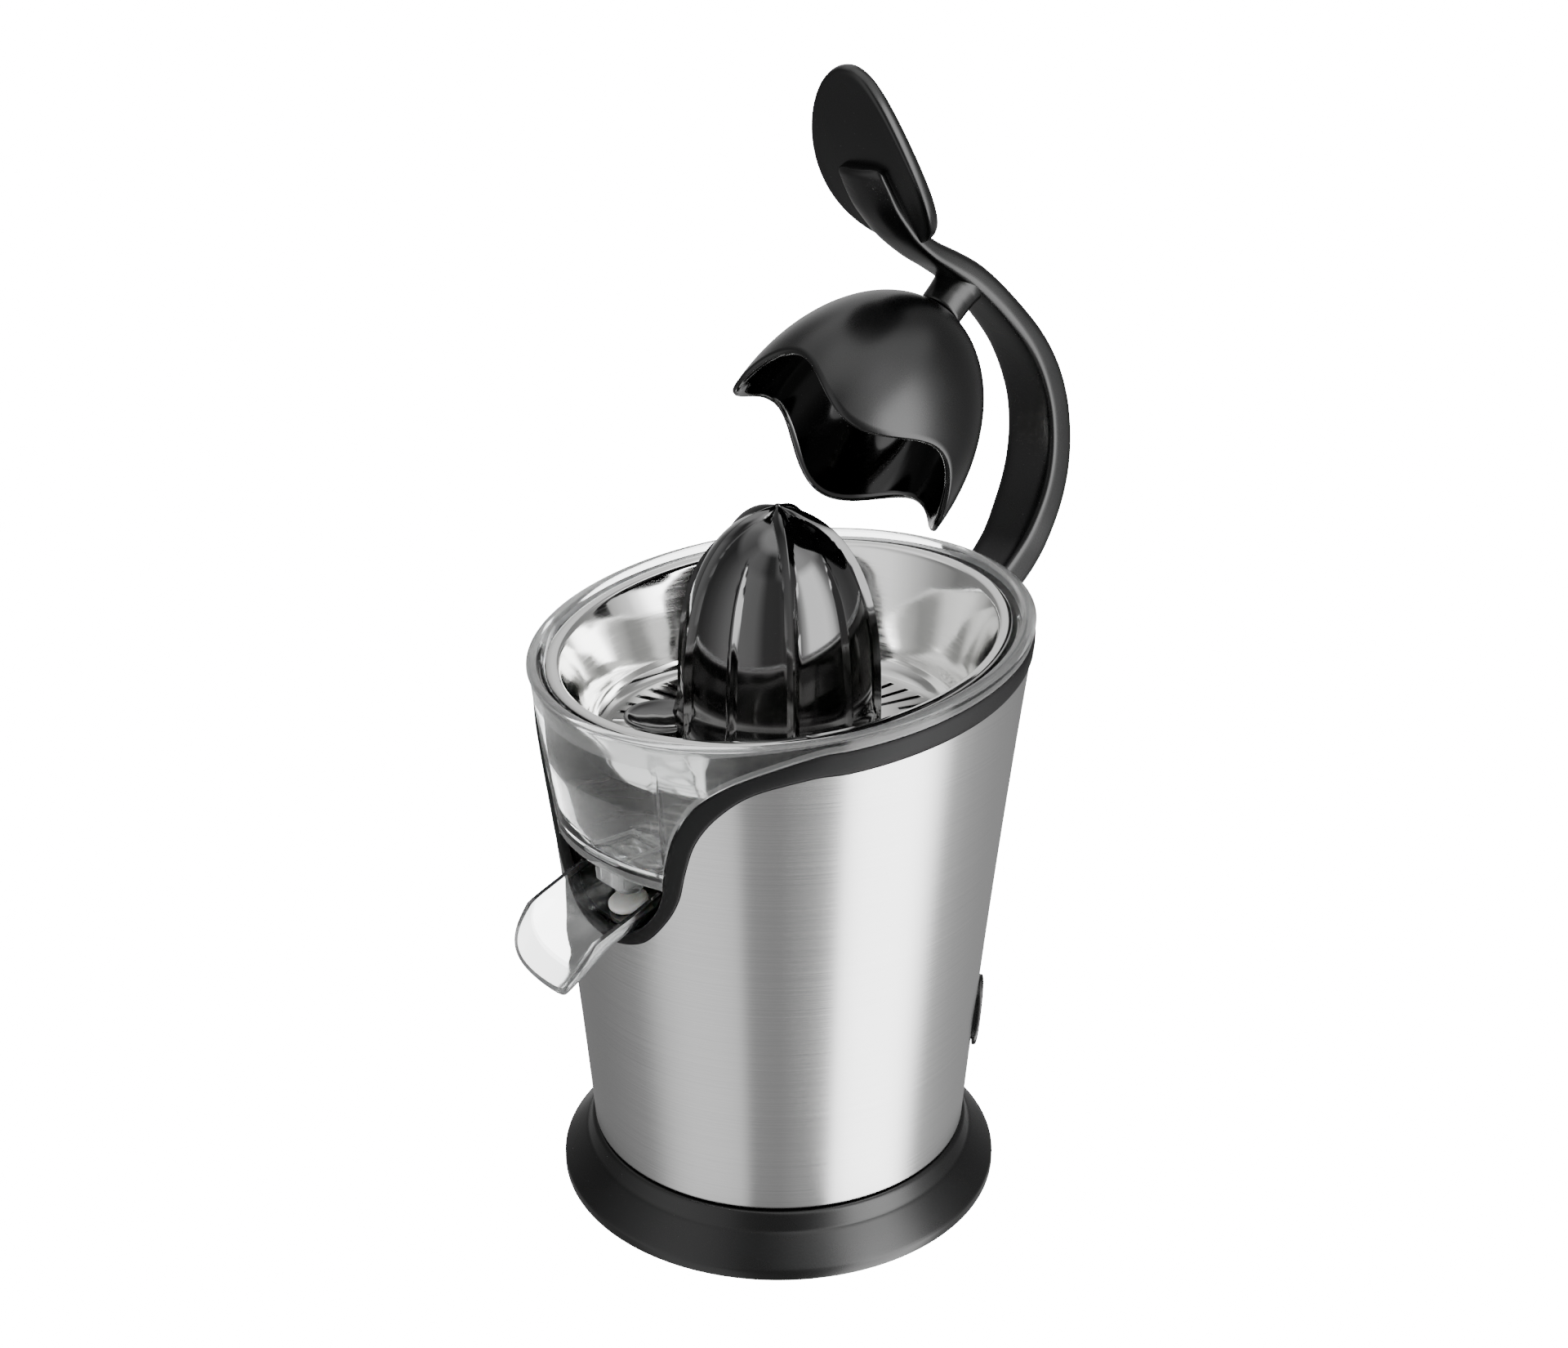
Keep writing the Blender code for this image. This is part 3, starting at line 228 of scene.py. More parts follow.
def polished(name, colour, rough_low, rough_high, stretch=(1, 1, 1)):
    """Polished or turned metal with faint machining lines."""
    made, bsdf = shader(name, colour, rough_low, 1.0)
    tree = made.node_tree
    lines = stretched_noise(tree, stretch, 1.0, 3.0)
    tree.links.new(spread(tree, lines, rough_low, rough_high), bsdf.inputs["Roughness"])
    slow = stretched_noise(tree, (1, 1, 1), 28.0, 1.0)
    under = bump(tree, bsdf, slow, 0.30, 0.0020)
    bump(tree, bsdf, lines, 0.12, 0.00003, under)
    return made


def clear(name, tint, roughness):
    """Clear moulded plastic with slight flow waves."""
    made, bsdf = shader(name, tint, roughness)
    bsdf.inputs["Transmission Weight"].default_value = 1.0
    bsdf.inputs["IOR"].default_value = 1.46
    tree = made.node_tree
    flow = stretched_noise(tree, (1, 1, 0.4), 40.0, 1.5)
    bump(tree, bsdf, flow, 0.12, 0.0012)
    scuff = stretched_noise(tree, (1, 1, 1), 260.0, 3.0)
    tree.links.new(spread(tree, scuff, roughness, roughness + 0.05), bsdf.inputs["Roughness"])
    return made


def adjust(made, socket, level):
    made.node_tree.nodes["Principled BSDF"].inputs[socket].default_value = level


SATIN = moulded("satin_black_plastic", (0.0030, 0.0030, 0.0032), (0.0042, 0.0042, 0.0044), 0.24, 0.30, 0.20)
adjust(SATIN, "Specular IOR Level", 0.42)
TRIM_BLACK = moulded("trim_black_plastic", (0.008, 0.008, 0.0083), (0.010, 0.010, 0.0103), 0.52, 0.60, 0.20)
adjust(TRIM_BLACK, "Specular IOR Level", 0.18)
GLOSS = glossy("gloss_black_plastic", (0.0020, 0.0020, 0.0022))
BRUSHED = brushed("brushed_steel", (6.0, 6.0, 5200.0), 0.22, 0.27, 0.25)
POLISHED = polished("polished_steel", (0.86, 0.86, 0.85), 0.06, 0.12, (40, 40, 1600))
STEEL = polished("plain_steel", (0.55, 0.55, 0.56), 0.22, 0.34, (300, 300, 1500))
CLEAR = clear("clear_plastic", (0.97, 0.98, 0.98), 0.015)
# painted highlight: a lighter, milky copy of the clear plastic for the bowl's rim and lower edges and the
# outlet's frame, standing for the light those edges catch
PAINTED_HIGHLIGHT_PLASTIC = clear("painted_highlight_clear_plastic", (0.93, 0.94, 0.94), 0.10)
adjust(PAINTED_HIGHLIGHT_PLASTIC, "Transmission Weight", 0.80)
# painted light: a lighter, partly milky copy of the clear plastic for the outlet box and nozzle, standing
# for the light their edges catch
LIT_EDGE = clear("edge_lit_clear_plastic", (0.96, 0.97, 0.97), 0.04)
adjust(LIT_EDGE, "Transmission Weight", 0.90)
# painted shade: a darker, partly milky copy of the clear plastic for the spout's lip, standing for the grey
# border that the thick lip shows
LIP_CLEAR = clear("lip_clear_plastic", (0.74, 0.75, 0.75), 0.06)
adjust(LIP_CLEAR, "Transmission Weight", 0.85)
# painted shade: a dark, dull copy of the steel for the drum's inner face, where the shade inside the drum
# falls
SHADED = moulded("shaded_steel", (0.020, 0.020, 0.020), (0.028, 0.028, 0.028), 0.60, 0.70, 0.20)
adjust(SHADED, "Specular IOR Level", 0.05)
RUBBER = moulded("black_rubber", (0.014, 0.014, 0.014), (0.020, 0.020, 0.020), 0.70, 0.82, 0.5, 1500.0)
SILICONE = moulded("pale_silicone", (0.78, 0.77, 0.74), (0.84, 0.83, 0.80), 0.38, 0.48, 0.15, 900.0)
adjust(SILICONE, "Subsurface Weight", 0.2)
adjust(SILICONE, "Subsurface Scale", 0.002)
NYLON = moulded("white_nylon", (0.74, 0.74, 0.70), (0.80, 0.80, 0.76), 0.40, 0.50, 0.2, 900.0)

# ---- mesh helpers ----


def polar(radius, turn, z):
    return Vector((radius * math.sin(turn), -radius * math.cos(turn), z))


def drum_radius(z):
    up = z - DRUM_FOOT_Z
    return DRUM_FOOT_R + DRUM_TAPER * up + DRUM_FLARE * up * up


def rim_z(radius, turn):
    return RIM_MID_Z - RIM_SLOPE * radius * math.cos(turn)


def catmull(points, count):
    """Smooth curve through points, count steps to each stretch."""
    rows = [Vector(p) for p in points]
    rows = [2 * rows[0] - rows[1], *rows, 2 * rows[-1] - rows[-2]]
    out = []
    for a, b, c, d in zip(rows, rows[1:], rows[2:], rows[3:]):
        for i in range(count):
            t = i / count
            square = (2 * a - 5 * b + 4 * c - d) * t**2
            cube = (3 * b - a - 3 * c + d) * t**3
            out.append(0.5 * (2 * b + (c - a) * t + square + cube))
    out.append(rows[-2])
    return out


def soften(loop, radius, steps):
    """Round the corners of a closed loop of points."""
    points = [Vector(p) for p in loop]
    out = []
    count = len(points)
    for i, p in enumerate(points):
        before, after = points[i - 1], points[(i + 1) % count]
        back = before - p
        on = after - p
        start = p + back.normalized() * min(radius, back.length * 0.45)
        end = p + on.normalized() * min(radius, on.length * 0.45)
        for j in range(steps + 1):
            t = j / steps
            out.append(start * (1 - t) ** 2 + p * 2 * t * (1 - t) + end * t**2)
    return out


def turns_round(count=AROUND):
    return [math.tau * i / count for i in range(count)]


def linked(name, bm, *materials):
    """New object in the scene from a bmesh, which is freed."""
    mesh = bpy.data.meshes.new(name)
    bm.to_mesh(mesh)
    bm.free()
    for finish in materials:
        mesh.materials.append(finish)
    made = bpy.data.objects.new(name, mesh)
    bpy.context.scene.collection.objects.link(made)
    return made


def place(name, bm, material, body, *nodes, slot=None, sharp=40.0, extra=()):
    """Turn a bmesh into a shaded piece that rides a body and stands for CAD nodes."""
    bmesh.ops.recalc_face_normals(bm, faces=bm.faces)
    piece = linked(name, bm, material, *extra)
    piece.data.shade_smooth()
    piece.data.set_sharp_from_angle(angle=math.radians(sharp))
    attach(piece, body)
    if nodes:
        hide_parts(*nodes)
    return piece


def skin(bm, loops, ring=False, caps=False, closed=True, index=0, second=()):
    """Quads between rows of points. Each row is a closed loop; ring joins the last row to the first.

    Quads that start at a point listed in second get the piece's second material.
    """
    rows = [[bm.verts.new(p) for p in loop] for loop in loops]
    pairs = list(zip(rows, rows[1:]))
    if ring:
        pairs.append((rows[-1], rows[0]))
    for row, following in pairs:
        for j in range(len(row) if closed else len(row) - 1):
            k = (j + 1) % len(row)
            face = bm.faces.new((row[j], following[j], following[k], row[k]))
            face.material_index = 1 if j in second else index
    if caps:
        bm.faces.new(rows[0])
        bm.faces.new(list(reversed(rows[-1])))
    return rows


def skinned(name, loops, material, body, *nodes, ring=False, caps=False, sharp=40.0):
    """Piece made of a single skin."""
    bm = bmesh.new()
    skin(bm, loops, ring=ring, caps=caps)
    return place(name, bm, material, body, *nodes, sharp=sharp)


def fan(bm, row, tip, index=0):
    """Triangles from a closed row to its tip."""
    pole = bm.verts.new(tip)
    for i in range(len(row)):
        bm.faces.new((row[i], row[(i + 1) % len(row)], pole)).material_index = index


def bridge(bm, row, following, index=0):
    """Quads between two closed rows that are in the mesh already."""
    for j in range(len(row)):
        k = (j + 1) % len(row)
        bm.faces.new((row[j], row[k], following[k], following[j])).material_index = index


def ring_piece(name, section, material, body, *nodes, turns=None, slot=None, second=(), extra=()):
    """Piece round Z whose closed section of (radius, z) points changes with the turn."""
    bm = bmesh.new()
    loops = [[polar(r, a, z) for r, z in section(a)] for a in (turns or turns_round())]
    skin(bm, loops, ring=True, second=second)
    return place(name, bm, material, body, *nodes, slot=slot, extra=extra)


def lathe(name, profile, material, body, *nodes, slot=None, steps=AROUND, move=None):
    """Turn a closed profile of (radius, z) points about Z, then move it."""
    bm = bmesh.new()
    loops = [[polar(r, a, z) for r, z in profile] for a in turns_round(steps)]
    skin(bm, loops, ring=True)
    bm.transform(move or Matrix.Identity(4))
    return place(name, bm, material, body, *nodes, slot=slot)


def solid_lathe(name, profile, material, body, *nodes, slot=None, steps=AROUND, move=None):
    """Turn a profile that starts and ends on the axis about Z, then move it and close it there."""
    bm = bmesh.new()
    loops = [[polar(max(r, AXIS_R), a, z) for r, z in profile] for a in turns_round(steps)]
    skin(bm, loops, ring=True)
    bm.transform(move or Matrix.Identity(4))
    bmesh.ops.remove_doubles(bm, verts=bm.verts, dist=MERGE)
    return place(name, bm, material, body, *nodes, slot=slot)


def bevelled(piece, width, segments=3, angle=35.0):
    edge = piece.modifiers.new("edge", "BEVEL")
    edge.width = width
    edge.segments = segments
    edge.limit_method = "ANGLE"
    edge.angle_limit = math.radians(angle)
    return piece


def subtract(piece, tool):
    """Cut a tool out of a piece, then drop the tool."""
    step = piece.modifiers.new("step", "BOOLEAN")
    step.solver = "EXACT"
    step.operation = "DIFFERENCE"
    step.object = tool
    bpy.context.view_layer.update()
    solid = piece.evaluated_get(bpy.context.evaluated_depsgraph_get())
    mesh = bpy.data.meshes.new_from_object(solid)
    piece.modifiers.clear()
    old = piece.data
    piece.data = mesh
    bpy.data.meshes.remove(old)
    bpy.data.objects.remove(tool)


def tool_from(bm, material):
    """Cutting tool whose material goes to the faces that it leaves."""
    bmesh.ops.recalc_face_normals(bm, faces=bm.faces)
    return linked("tool", bm, material)


# ---- edges of the trim ----

TRIM_LOWER = ((0, 0.1200), (8, 0.1219), (15, 0.1264), (21.5, 0.1364), (25.3, 0.1460), (27.4, 0.1570),
              (30.4, 0.1690), (36, 0.1800), (44, 0.1890), (56, 0.1945))
TRIM_UPPER = ((0, 0.1243), (7, 0.1257), (13, 0.1300), (18, 0.1375), (20.8, 0.1460), (22.4, 0.1570),
              (25.4, 0.1700), (31, 0.1822), (41, 0.1925), (56, 0.2012))
TRIM_FINE = 6
RIM_STEPS = 56


def half_edge(points, drop):
    """One side of an edge: round the spout opening, then along the rim plane to the back."""
    last = points[-1][0]
    ahead = [(last + step, rim_z(RIM_R, math.radians(last + step)) - drop) for step in (8, 18)]
    curve = catmull([*points, *ahead], TRIM_FINE)
    curve = [Vector((math.radians(p.x), p.y)) for p in curve]
    start = math.radians(last + 18)
    rest = [start + (math.pi - start) * i / RIM_STEPS for i in range(1, RIM_STEPS + 1)]
    return curve + [Vector((a, rim_z(RIM_R, a) - drop)) for a in rest]


def whole_edge(half):
    mirrored = [Vector((-p.x, p.y)) for p in reversed(half[1:-1])]
    return mirrored + half


LOWER_EDGE = whole_edge(half_edge(TRIM_LOWER, TRIM_DEPTH))
UPPER_EDGE = whole_edge(half_edge(TRIM_UPPER, LIP_HEIGHT))


def shifted(edge, other, distance):
    """Move an edge away from its partner along the drum's surface."""
    out = []
    for p, q in zip(edge, other):
        across = Vector(((q.x - p.x) * RIM_R, q.y - p.y)).normalized() * distance
        out.append(Vector((p.x - across.x / RIM_R, p.y - across.y)))
    return out


# ---- base and drum ----


def make_base():
    """Groove band, collar, conical skirt and outer band as one moulding."""
    low = BASE_LOW_Z
    profile = [
        (0.0678, 0.0290), (0.0677, 0.0216), (0.0698, 0.0214), (0.0707, 0.0206), (0.0724, 0.0154),
        (0.0733, 0.0146), (0.0807, 0.0061), (0.0816, 0.0050), (0.0816, low), (0.0775, low),
        (0.0775, 0.0042), (0.0664, 0.0110), (0.0661, 0.0290),
    ]
    lathe("base_moulding", soften(profile, 0.0007, 3), SATIN, "body", "base_ring")


SHELL_ROWS = 22
SHELL_HEM = ((1.0, 0.0006), (0.7, 0.0001), (0.3, 0.0), (0.05, 0.0003))
SHELL_FOOT = (0.0007, 0.0012)
SHELL_GAP = 0.0003


def make_shell():
    """Sheet drum with a rounded hem at its foot; its inner face gets a dark copy of the steel as painted
    shade.
    """
    edge = shifted(LOWER_EDGE, UPPER_EDGE, SHELL_GAP)
    low = DRUM_FOOT_Z
    foot = [low + step for step in SHELL_FOOT]
    hem = [(drum_radius(low) - SHEET * share, low + rise) for share, rise in SHELL_HEM]
    bm = bmesh.new()
    loops = []
    for turn, top in edge:
        rows = [low + (top - low) * i / SHELL_ROWS for i in range(1, SHELL_ROWS + 1)]
        outside = [(drum_radius(z), z) for z in (*foot, *rows)]
        inside = [(drum_radius(z) - SHEET, z) for z in reversed(rows)]
        loops.append([polar(r, turn, z) for r, z in outside + inside + hem])
    first = len(foot) + SHELL_ROWS
    # the inside quads take the second material, the dark steel: painted shade
    skin(bm, loops, ring=True, second=range(first, first + SHELL_ROWS - 1))
    shell = place("drum_shell", bm, BRUSHED, "body", "body_shell", extra=(SHADED,))
    face, out = switch_face()
    hole = (SWITCH_HALF_W - SWITCH_LAP, SWITCH_HALF_H - SWITCH_LAP)
    subtract(shell, oval_tool(face - out * SWITCH_CUT / 2, out, *hole, SWITCH_CUT))


def make_trim():
    """Band between the two edges; each section point is (share of its height, reach past the drum)."""
    section = ((0.0, -0.0026), (0.0, 0.0000), (0.05, 0.0004), (0.16, 0.0006), (0.50, 0.0006),
               (0.84, 0.0004), (0.95, 0.0001), (1.0, -0.0003), (1.0, -0.0026))
    loops = []
    for low, high in zip(LOWER_EDGE, UPPER_EDGE):
        loop = []
        for t, proud in section:
            turn, z = low.lerp(high, t)
            loop.append(polar(drum_radius(z) + proud, turn, z))
        loops.append(loop)
    skinned("rim_trim", loops, TRIM_BLACK, "body", "collar_trim", ring=True)


def make_spring():
    """Coil under the reamer's sleeve."""
    low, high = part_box("press_spring")
    wire = SPRING_WIRE_R
    middle = high[0] - wire
    rise = high[2] - low[2] - 2 * wire
    steps = int(SPRING_TURNS * 48)
    section = [(wire * math.cos(b), wire * math.sin(b)) for b in turns_round(14)]
    loops = []
    for i in range(steps + 1):
        a = math.tau * SPRING_TURNS * i / steps
        out = Vector((math.cos(a), math.sin(a), 0))
        centre = out * middle + Vector((0, 0, low[2] + wire + rise * i / steps))
        loops.append([centre + out * grow + Vector((0, 0, up)) for grow, up in section])
    coil = skinned("press_coil", loops, STEEL, "body", "press_spring", caps=True)
    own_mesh(coil)


# ---- bowl and strainer ----


def bowl_skirt():
    """Lower edge of the bowl's outer face at each turn, and whether its wall is tucked behind the trim."""
    edge = shifted(UPPER_EDGE, LOWER_EDGE, 0.0004)
    skirt = {}
    for p, q in zip(edge, edge[1:]):
        skirt[p.x] = (max(p.y, BOWL_UNDER_Z), p.y > BOWL_UNDER_Z)
        if (p.y > BOWL_UNDER_Z) != (q.y > BOWL_UNDER_Z):
            corner = p.lerp(q, (BOWL_UNDER_Z - p.y) / (q.y - p.y)).x
            step = math.copysign(0.0015, corner)
            pair = [(corner + step, (BOWL_UNDER_Z + 0.0002, True)), (corner, (BOWL_UNDER_Z, False))]
            skirt.update(pair if corner < 0 else reversed(pair))
    skirt[edge[-1].x] = (edge[-1].y, True)
    return skirt


BOWL_RIM = ((0.0846, 0.0001), (0.0838, -0.0002), (0.0829, -0.0010), (0.0818, -0.0026), (0.0806, -0.0036),
            (0.0795, -0.0042))
# quads of the bowl's section that take the lighter milky plastic: painted highlight at the rim and the lower
# edges
PAINTED_HIGHLIGHT_QUADS = (0, 6, 7, 8, 9, 10, 36, 37, 38, 39)


def make_bowl():
    """Clear bowl with its sloping rim; the quads at the rim and the lower edges get a lighter, milky copy of
    the plastic as painted highlight.
    """
    skirt = bowl_skirt()

    def section(turn):
        low, tucked = skirt[turn]
        top = rim_z(RIM_R, turn)
        wall = BOWL_TUCK + BOWL_WALL
        under = BOWL_UNDER_Z
        behind = BOWL_TUCK if tucked else 0.0013
        foot = low + (0.0001 if tucked else 0.0013)
        heights = [foot, *[foot + 0.0024 + (top - 0.0032 - foot) * i / 6 for i in range(7)]]
        outside = [(drum_radius(z) - (0.0005 if i == 7 else 0.0002), z) for i, z in enumerate(heights)]
        rim = [(0.0873, top - 0.0003), (0.0868, top)]
        rim += [(r, rim_z(r, turn) + rise) for r, rise in BOWL_RIM]
        inner = wall if tucked else BOWL_WALL + 0.0010
        inside = [(drum_radius(z) - wall, z) for z in (0.196, 0.190)]
        inside += [(drum_radius(z) - inner, z) for z in (0.182, 0.172, 0.160)]
        corner = [
            (drum_radius(0.154) - inner - 0.0002, 0.1545), (drum_radius(0.152) - inner - 0.0006, 0.1522),
            (drum_radius(0.151) - inner - 0.0016, 0.1509), (drum_radius(0.150) - inner - 0.0030, 0.1502),
        ]
        floor = [(0.0590, BOWL_FLOOR_Z), (0.0300, BOWL_FLOOR_Z + 0.0008), (0.0140, BOWL_FLOOR_Z + 0.0015),
                 (0.0130, 0.1540), (0.0130, 0.1716), (0.0126, 0.1720), (0.0116, 0.1720), (0.0112, 0.1716)]
        below = [
            (0.0112, under), (0.0400, under), (0.0640, under),
            (drum_radius(under) - BOWL_TUCK - 0.0020, under), (drum_radius(under) - behind, under),
            (drum_radius(low) - behind * 0.8, low + 0.00005),
            (drum_radius(low) - behind * 0.3, low + (0.0 if tucked else 0.0004)),
        ]
        return outside + rim + inside + corner + floor + below

    ring_piece("clear_bowl", section, CLEAR, "body", "juice_bowl", turns=list(skirt),
               second=PAINTED_HIGHLIGHT_QUADS, extra=(PAINTED_HIGHLIGHT_PLASTIC,))


OUTLET_CORNER = 0.0010
OUTLET_TOP_Z = BOWL_UNDER_Z - 0.0001
OUTLET_WALL = (
    (0.0076, 0.0088, OUTLET_TOP_Z), (0.0074, 0.0087, 0.1398), (0.0069, 0.0082, 0.1388),
    (0.0064, 0.0077, 0.1386), (0.0058, 0.0071, 0.1389), (0.0056, 0.0069, 0.1400),
    (0.0056, 0.0069, OUTLET_TOP_Z),
)
OUTLET_RIM = (
    (0.0088, 0.0100, BOWL_FLOOR_Z + 0.0006), (0.0088, 0.0100, BOWL_FLOOR_Z + 0.0018),
    (0.0077, 0.0089, BOWL_FLOOR_Z + 0.0018), (0.0077, 0.0089, BOWL_FLOOR_Z + 0.0006),
)
NOZZLE = ((0.0054, OUTLET_TOP_Z), (0.0054, 0.1364), (0.0050, 0.1355), (0.0044, 0.1353), (0.0041, 0.1360),
          (0.0040, OUTLET_TOP_Z))


def outlet_plan(half_x, half_y, z):
    """Rectangle about the outlet with its two front corners cut off."""
    side, front = half_y - OUTLET_CORNER, half_x - OUTLET_CORNER
    plan = [(half_x, -side), (front, -half_y), (-front, -half_y), (-half_x, -side), (-half_x, half_y),
            (half_x, half_y)]
    return [Vector((x, OUTLET_Y + y, z)) for x, y in plan]


def make_outlet():
    """Clear outlet box under the bowl's floor, a round nozzle inside it and a raised rim over it."""
    # the box and nozzle take the lighter edge-lit plastic and the frame the milky one: painted highlight
    for name, rows, finish in (("outlet_box", OUTLET_WALL, LIT_EDGE), ("outlet_frame", OUTLET_RIM, PAINTED_HIGHLIGHT_PLASTIC)):
        loops = [outlet_plan(*row) for row in rows]
        bevelled(skinned(name, loops, finish, "body", ring=True, sharp=20.0), 0.0003, 2, 20.0)
    move = Matrix.Translation((0, OUTLET_Y, 0))
    lathe("outlet_nozzle", NOZZLE, LIT_EDGE, "body", steps=48, move=move)


STRAINER_INSIDE = (
    (0.0672, 0.0085), (0.0669, 0.0064), (0.0662, 0.0040), (0.0648, 0.0020), (0.0628, 0.0006), (0.0608, 0.0),
    (0.0400, 0.0), (0.0180, 0.0), (0.0165, 0.0012),
)
STRAINER_OUTSIDE = (
    (0.0152, 0.0012), (0.0160, -STRAINER_T), (0.0400, -STRAINER_T), (0.0615, -STRAINER_T), (0.0650, 0.0008),
    (0.0671, 0.0034), (0.0683, 0.0081),
)
WALL_LEAN = 0.0083
SLOT_W = 0.0022
SLOT_STARTS = (0.0425, 0.0470)
SLOT_END = 0.0600


def make_strainer():
    """Polished dish whose flange follows the sloping rim, with long and short slots by turns."""
    knee = STRAINER_Z + STRAINER_INSIDE[0][1]

    def section(turn):
        flange_out = rim_z(0.0803, turn) - 0.0022
        flange_in = rim_z(0.0766, turn) - 0.0022
        wall_top = flange_in - 0.0012
        middle = (flange_out + flange_in) / 2

        def wall(top_r, shares):
            return [(top_r - WALL_LEAN * share, wall_top + (knee - wall_top) * share) for share in shares]

        inside = [(0.0806, flange_out + 0.0001), (0.0800, flange_out + 0.0003), (0.0785, middle + 0.0002),
                  (0.0770, flange_in + 0.0001), (0.0763, flange_in - 0.0004), (0.0757, wall_top - 0.0004)]
        inside += wall(0.0755, (0.25, 0.5, 0.75))
        inside += [(r, STRAINER_Z + rise) for r, rise in STRAINER_INSIDE]
        outside = [(r, STRAINER_Z + rise) for r, rise in STRAINER_OUTSIDE]
        outside += wall(0.0767, (0.75, 0.5, 0.25))
        outside += [(0.0770, wall_top - 0.0003), (0.0778, flange_in - 0.0012), (0.0803, flange_out - 0.0008)]
        return inside + outside

    dish = ring_piece("strainer_dish", section, POLISHED, "body", "strainer")
    bm = bmesh.new()
    for i in range(SLOTS * 2):
        turn = math.tau * (i + 0.5) / (SLOTS * 2)
        start = SLOT_STARTS[i % 2]
        spot = polar((start + SLOT_END) / 2, turn, STRAINER_Z)
        size = Matrix.Diagonal((SLOT_W, SLOT_END - start, 0.0060, 1.0))
        matrix = Matrix.Translation(spot) @ Matrix.Rotation(turn, 4, "Z") @ size
        bmesh.ops.create_cube(bm, size=1.0, matrix=matrix)
    subtract(dish, tool_from(bm, POLISHED))


# ---- reamer ----


def cone_radius(z):
    t = max(0.0, min(1.0, (z - CONE_LOW_Z) / (CONE_TOP_Z - CONE_LOW_Z)))
    return CONE_R * math.sqrt(1 - t**CONE_FULLNESS)


def body_radius(z):
    """Smooth core under the ribs; it flares out to the ribs' crests at the foot."""
    t = max(0.0, min(1.0, (z - CONE_LOW_Z) / (CORE_TOP_Z - CONE_LOW_Z)))
    core = CORE_R * math.sqrt(1 - t**CONE_FULLNESS)
    flare = max(0.0, 1 - (z - CONE_LOW_Z) / FLARE_HEIGHT)
    return core + (CONE_R - 0.0003 - CORE_R) * flare


def reamer_radius(turn, z):
    """Core with five main ribs up to the tip and five lower ones between them that end below the top."""
    crest = cone_radius(z)
    core = body_radius(z)
    phase = ((turn - CONE_TURN) / math.tau * CONE_RIBS) % 1.0
    step = math.tau / CONE_RIBS
    main = crest - RIB_SLOPE * crest * min(phase, 1 - phase) * step
    fade = max(0.0, min(1.0, (MINOR_TOP_Z - z) / 0.0130)) ** 0.6
    minor = core + MINOR_RISE * fade - RIB_SLOPE * crest * abs(phase - 0.5) * step
    return max(core, main, minor, 0.0004)


CONE_ROWS = 72
CONE_COLUMNS = CONE_RIBS * 72
HOLLOW_STEP = 8
HOLLOW_ROOF = 0.0080
NUB = ((0.0, 0.0008), (0.0009, 0.0006), (0.0014, -0.0002), (0.0017, -0.0014), (0.0018, -0.0030),
       (0.0, -0.0030))


def cone_level(row):
    """Share of the cone's height at a row; rows crowd towards the tip."""
    return 1 - (1 - row / CONE_ROWS) ** 1.5


def make_cone():
    """Ribbed reamer with a plain hollow, and the small nub on its tip."""
    columns = turns_round(CONE_COLUMNS)
    height = CONE_TOP_Z - CONE_LOW_Z
    outer = []
    for row in range(CONE_ROWS):
        z = CONE_LOW_Z + height * cone_level(row)
        outer.append([polar(reamer_radius(a, z), a, z) for a in columns])
    inner = []
    for row in range(CONE_ROWS - HOLLOW_STEP, -1, -HOLLOW_STEP):
        level = cone_level(row)
        hollow = max(cone_radius(CONE_LOW_Z + height * level) * 0.93 - 0.0062, 0.0003)
        inner.append([polar(hollow, a, CONE_LOW_Z + (height - HOLLOW_ROOF) * level) for a in columns])
    bm = bmesh.new()
    outside = skin(bm, outer)
    fan(bm, outside[-1], (0, 0, CONE_TOP_Z + 0.0006))
    inside = skin(bm, inner)
    bridge(bm, outside[0], inside[-1])
    bm.faces.new(inside[0])
    place("reamer", bm, GLOSS, "reamer", "reamer_cone", sharp=24.0)
    nub = [(r, CONE_TOP_Z + rise) for r, rise in NUB]
    solid_lathe("reamer_nub", nub, GLOSS, "reamer", steps=32)


WING_SECTION = (
    (0.02, -0.0006), (0.40, -0.0004), (0.70, 0.0001), (0.86, 0.0008), (0.93, 0.0012), (0.98, 0.0011),
    (1.0, 0.0005), (0.99, -0.0002), (0.94, -0.0009), (0.80, -0.0011), (0.40, -0.0012), (0.02, -0.0012),
)
WING_REACH = 0.0400
WING_HALF_OUT = 0.0146
WING_HALF_SIDE = 0.0140


def make_wing():
    """Dished oval paddle that lies just over the strainer, to one side of the reamer."""
    out = polar(1.0, WING_TURN, 0.0)
    side = Vector((0, 0, 1)).cross(out)
    centre = out * WING_REACH + Vector((0, 0, CONE_LOW_Z + 0.0012))
    loops = []
    for grow, z in WING_SECTION:
        loop = []
        for a in turns_round(64):
            flat = out * WING_HALF_OUT * grow * math.cos(a) + side * WING_HALF_SIDE * grow * math.sin(a)
            loop.append(centre + flat + Vector((0, 0, z)))
        loops.append(loop)
    skinned("reamer_wing", loops, GLOSS, "reamer", caps=True)


# ---- spout ----

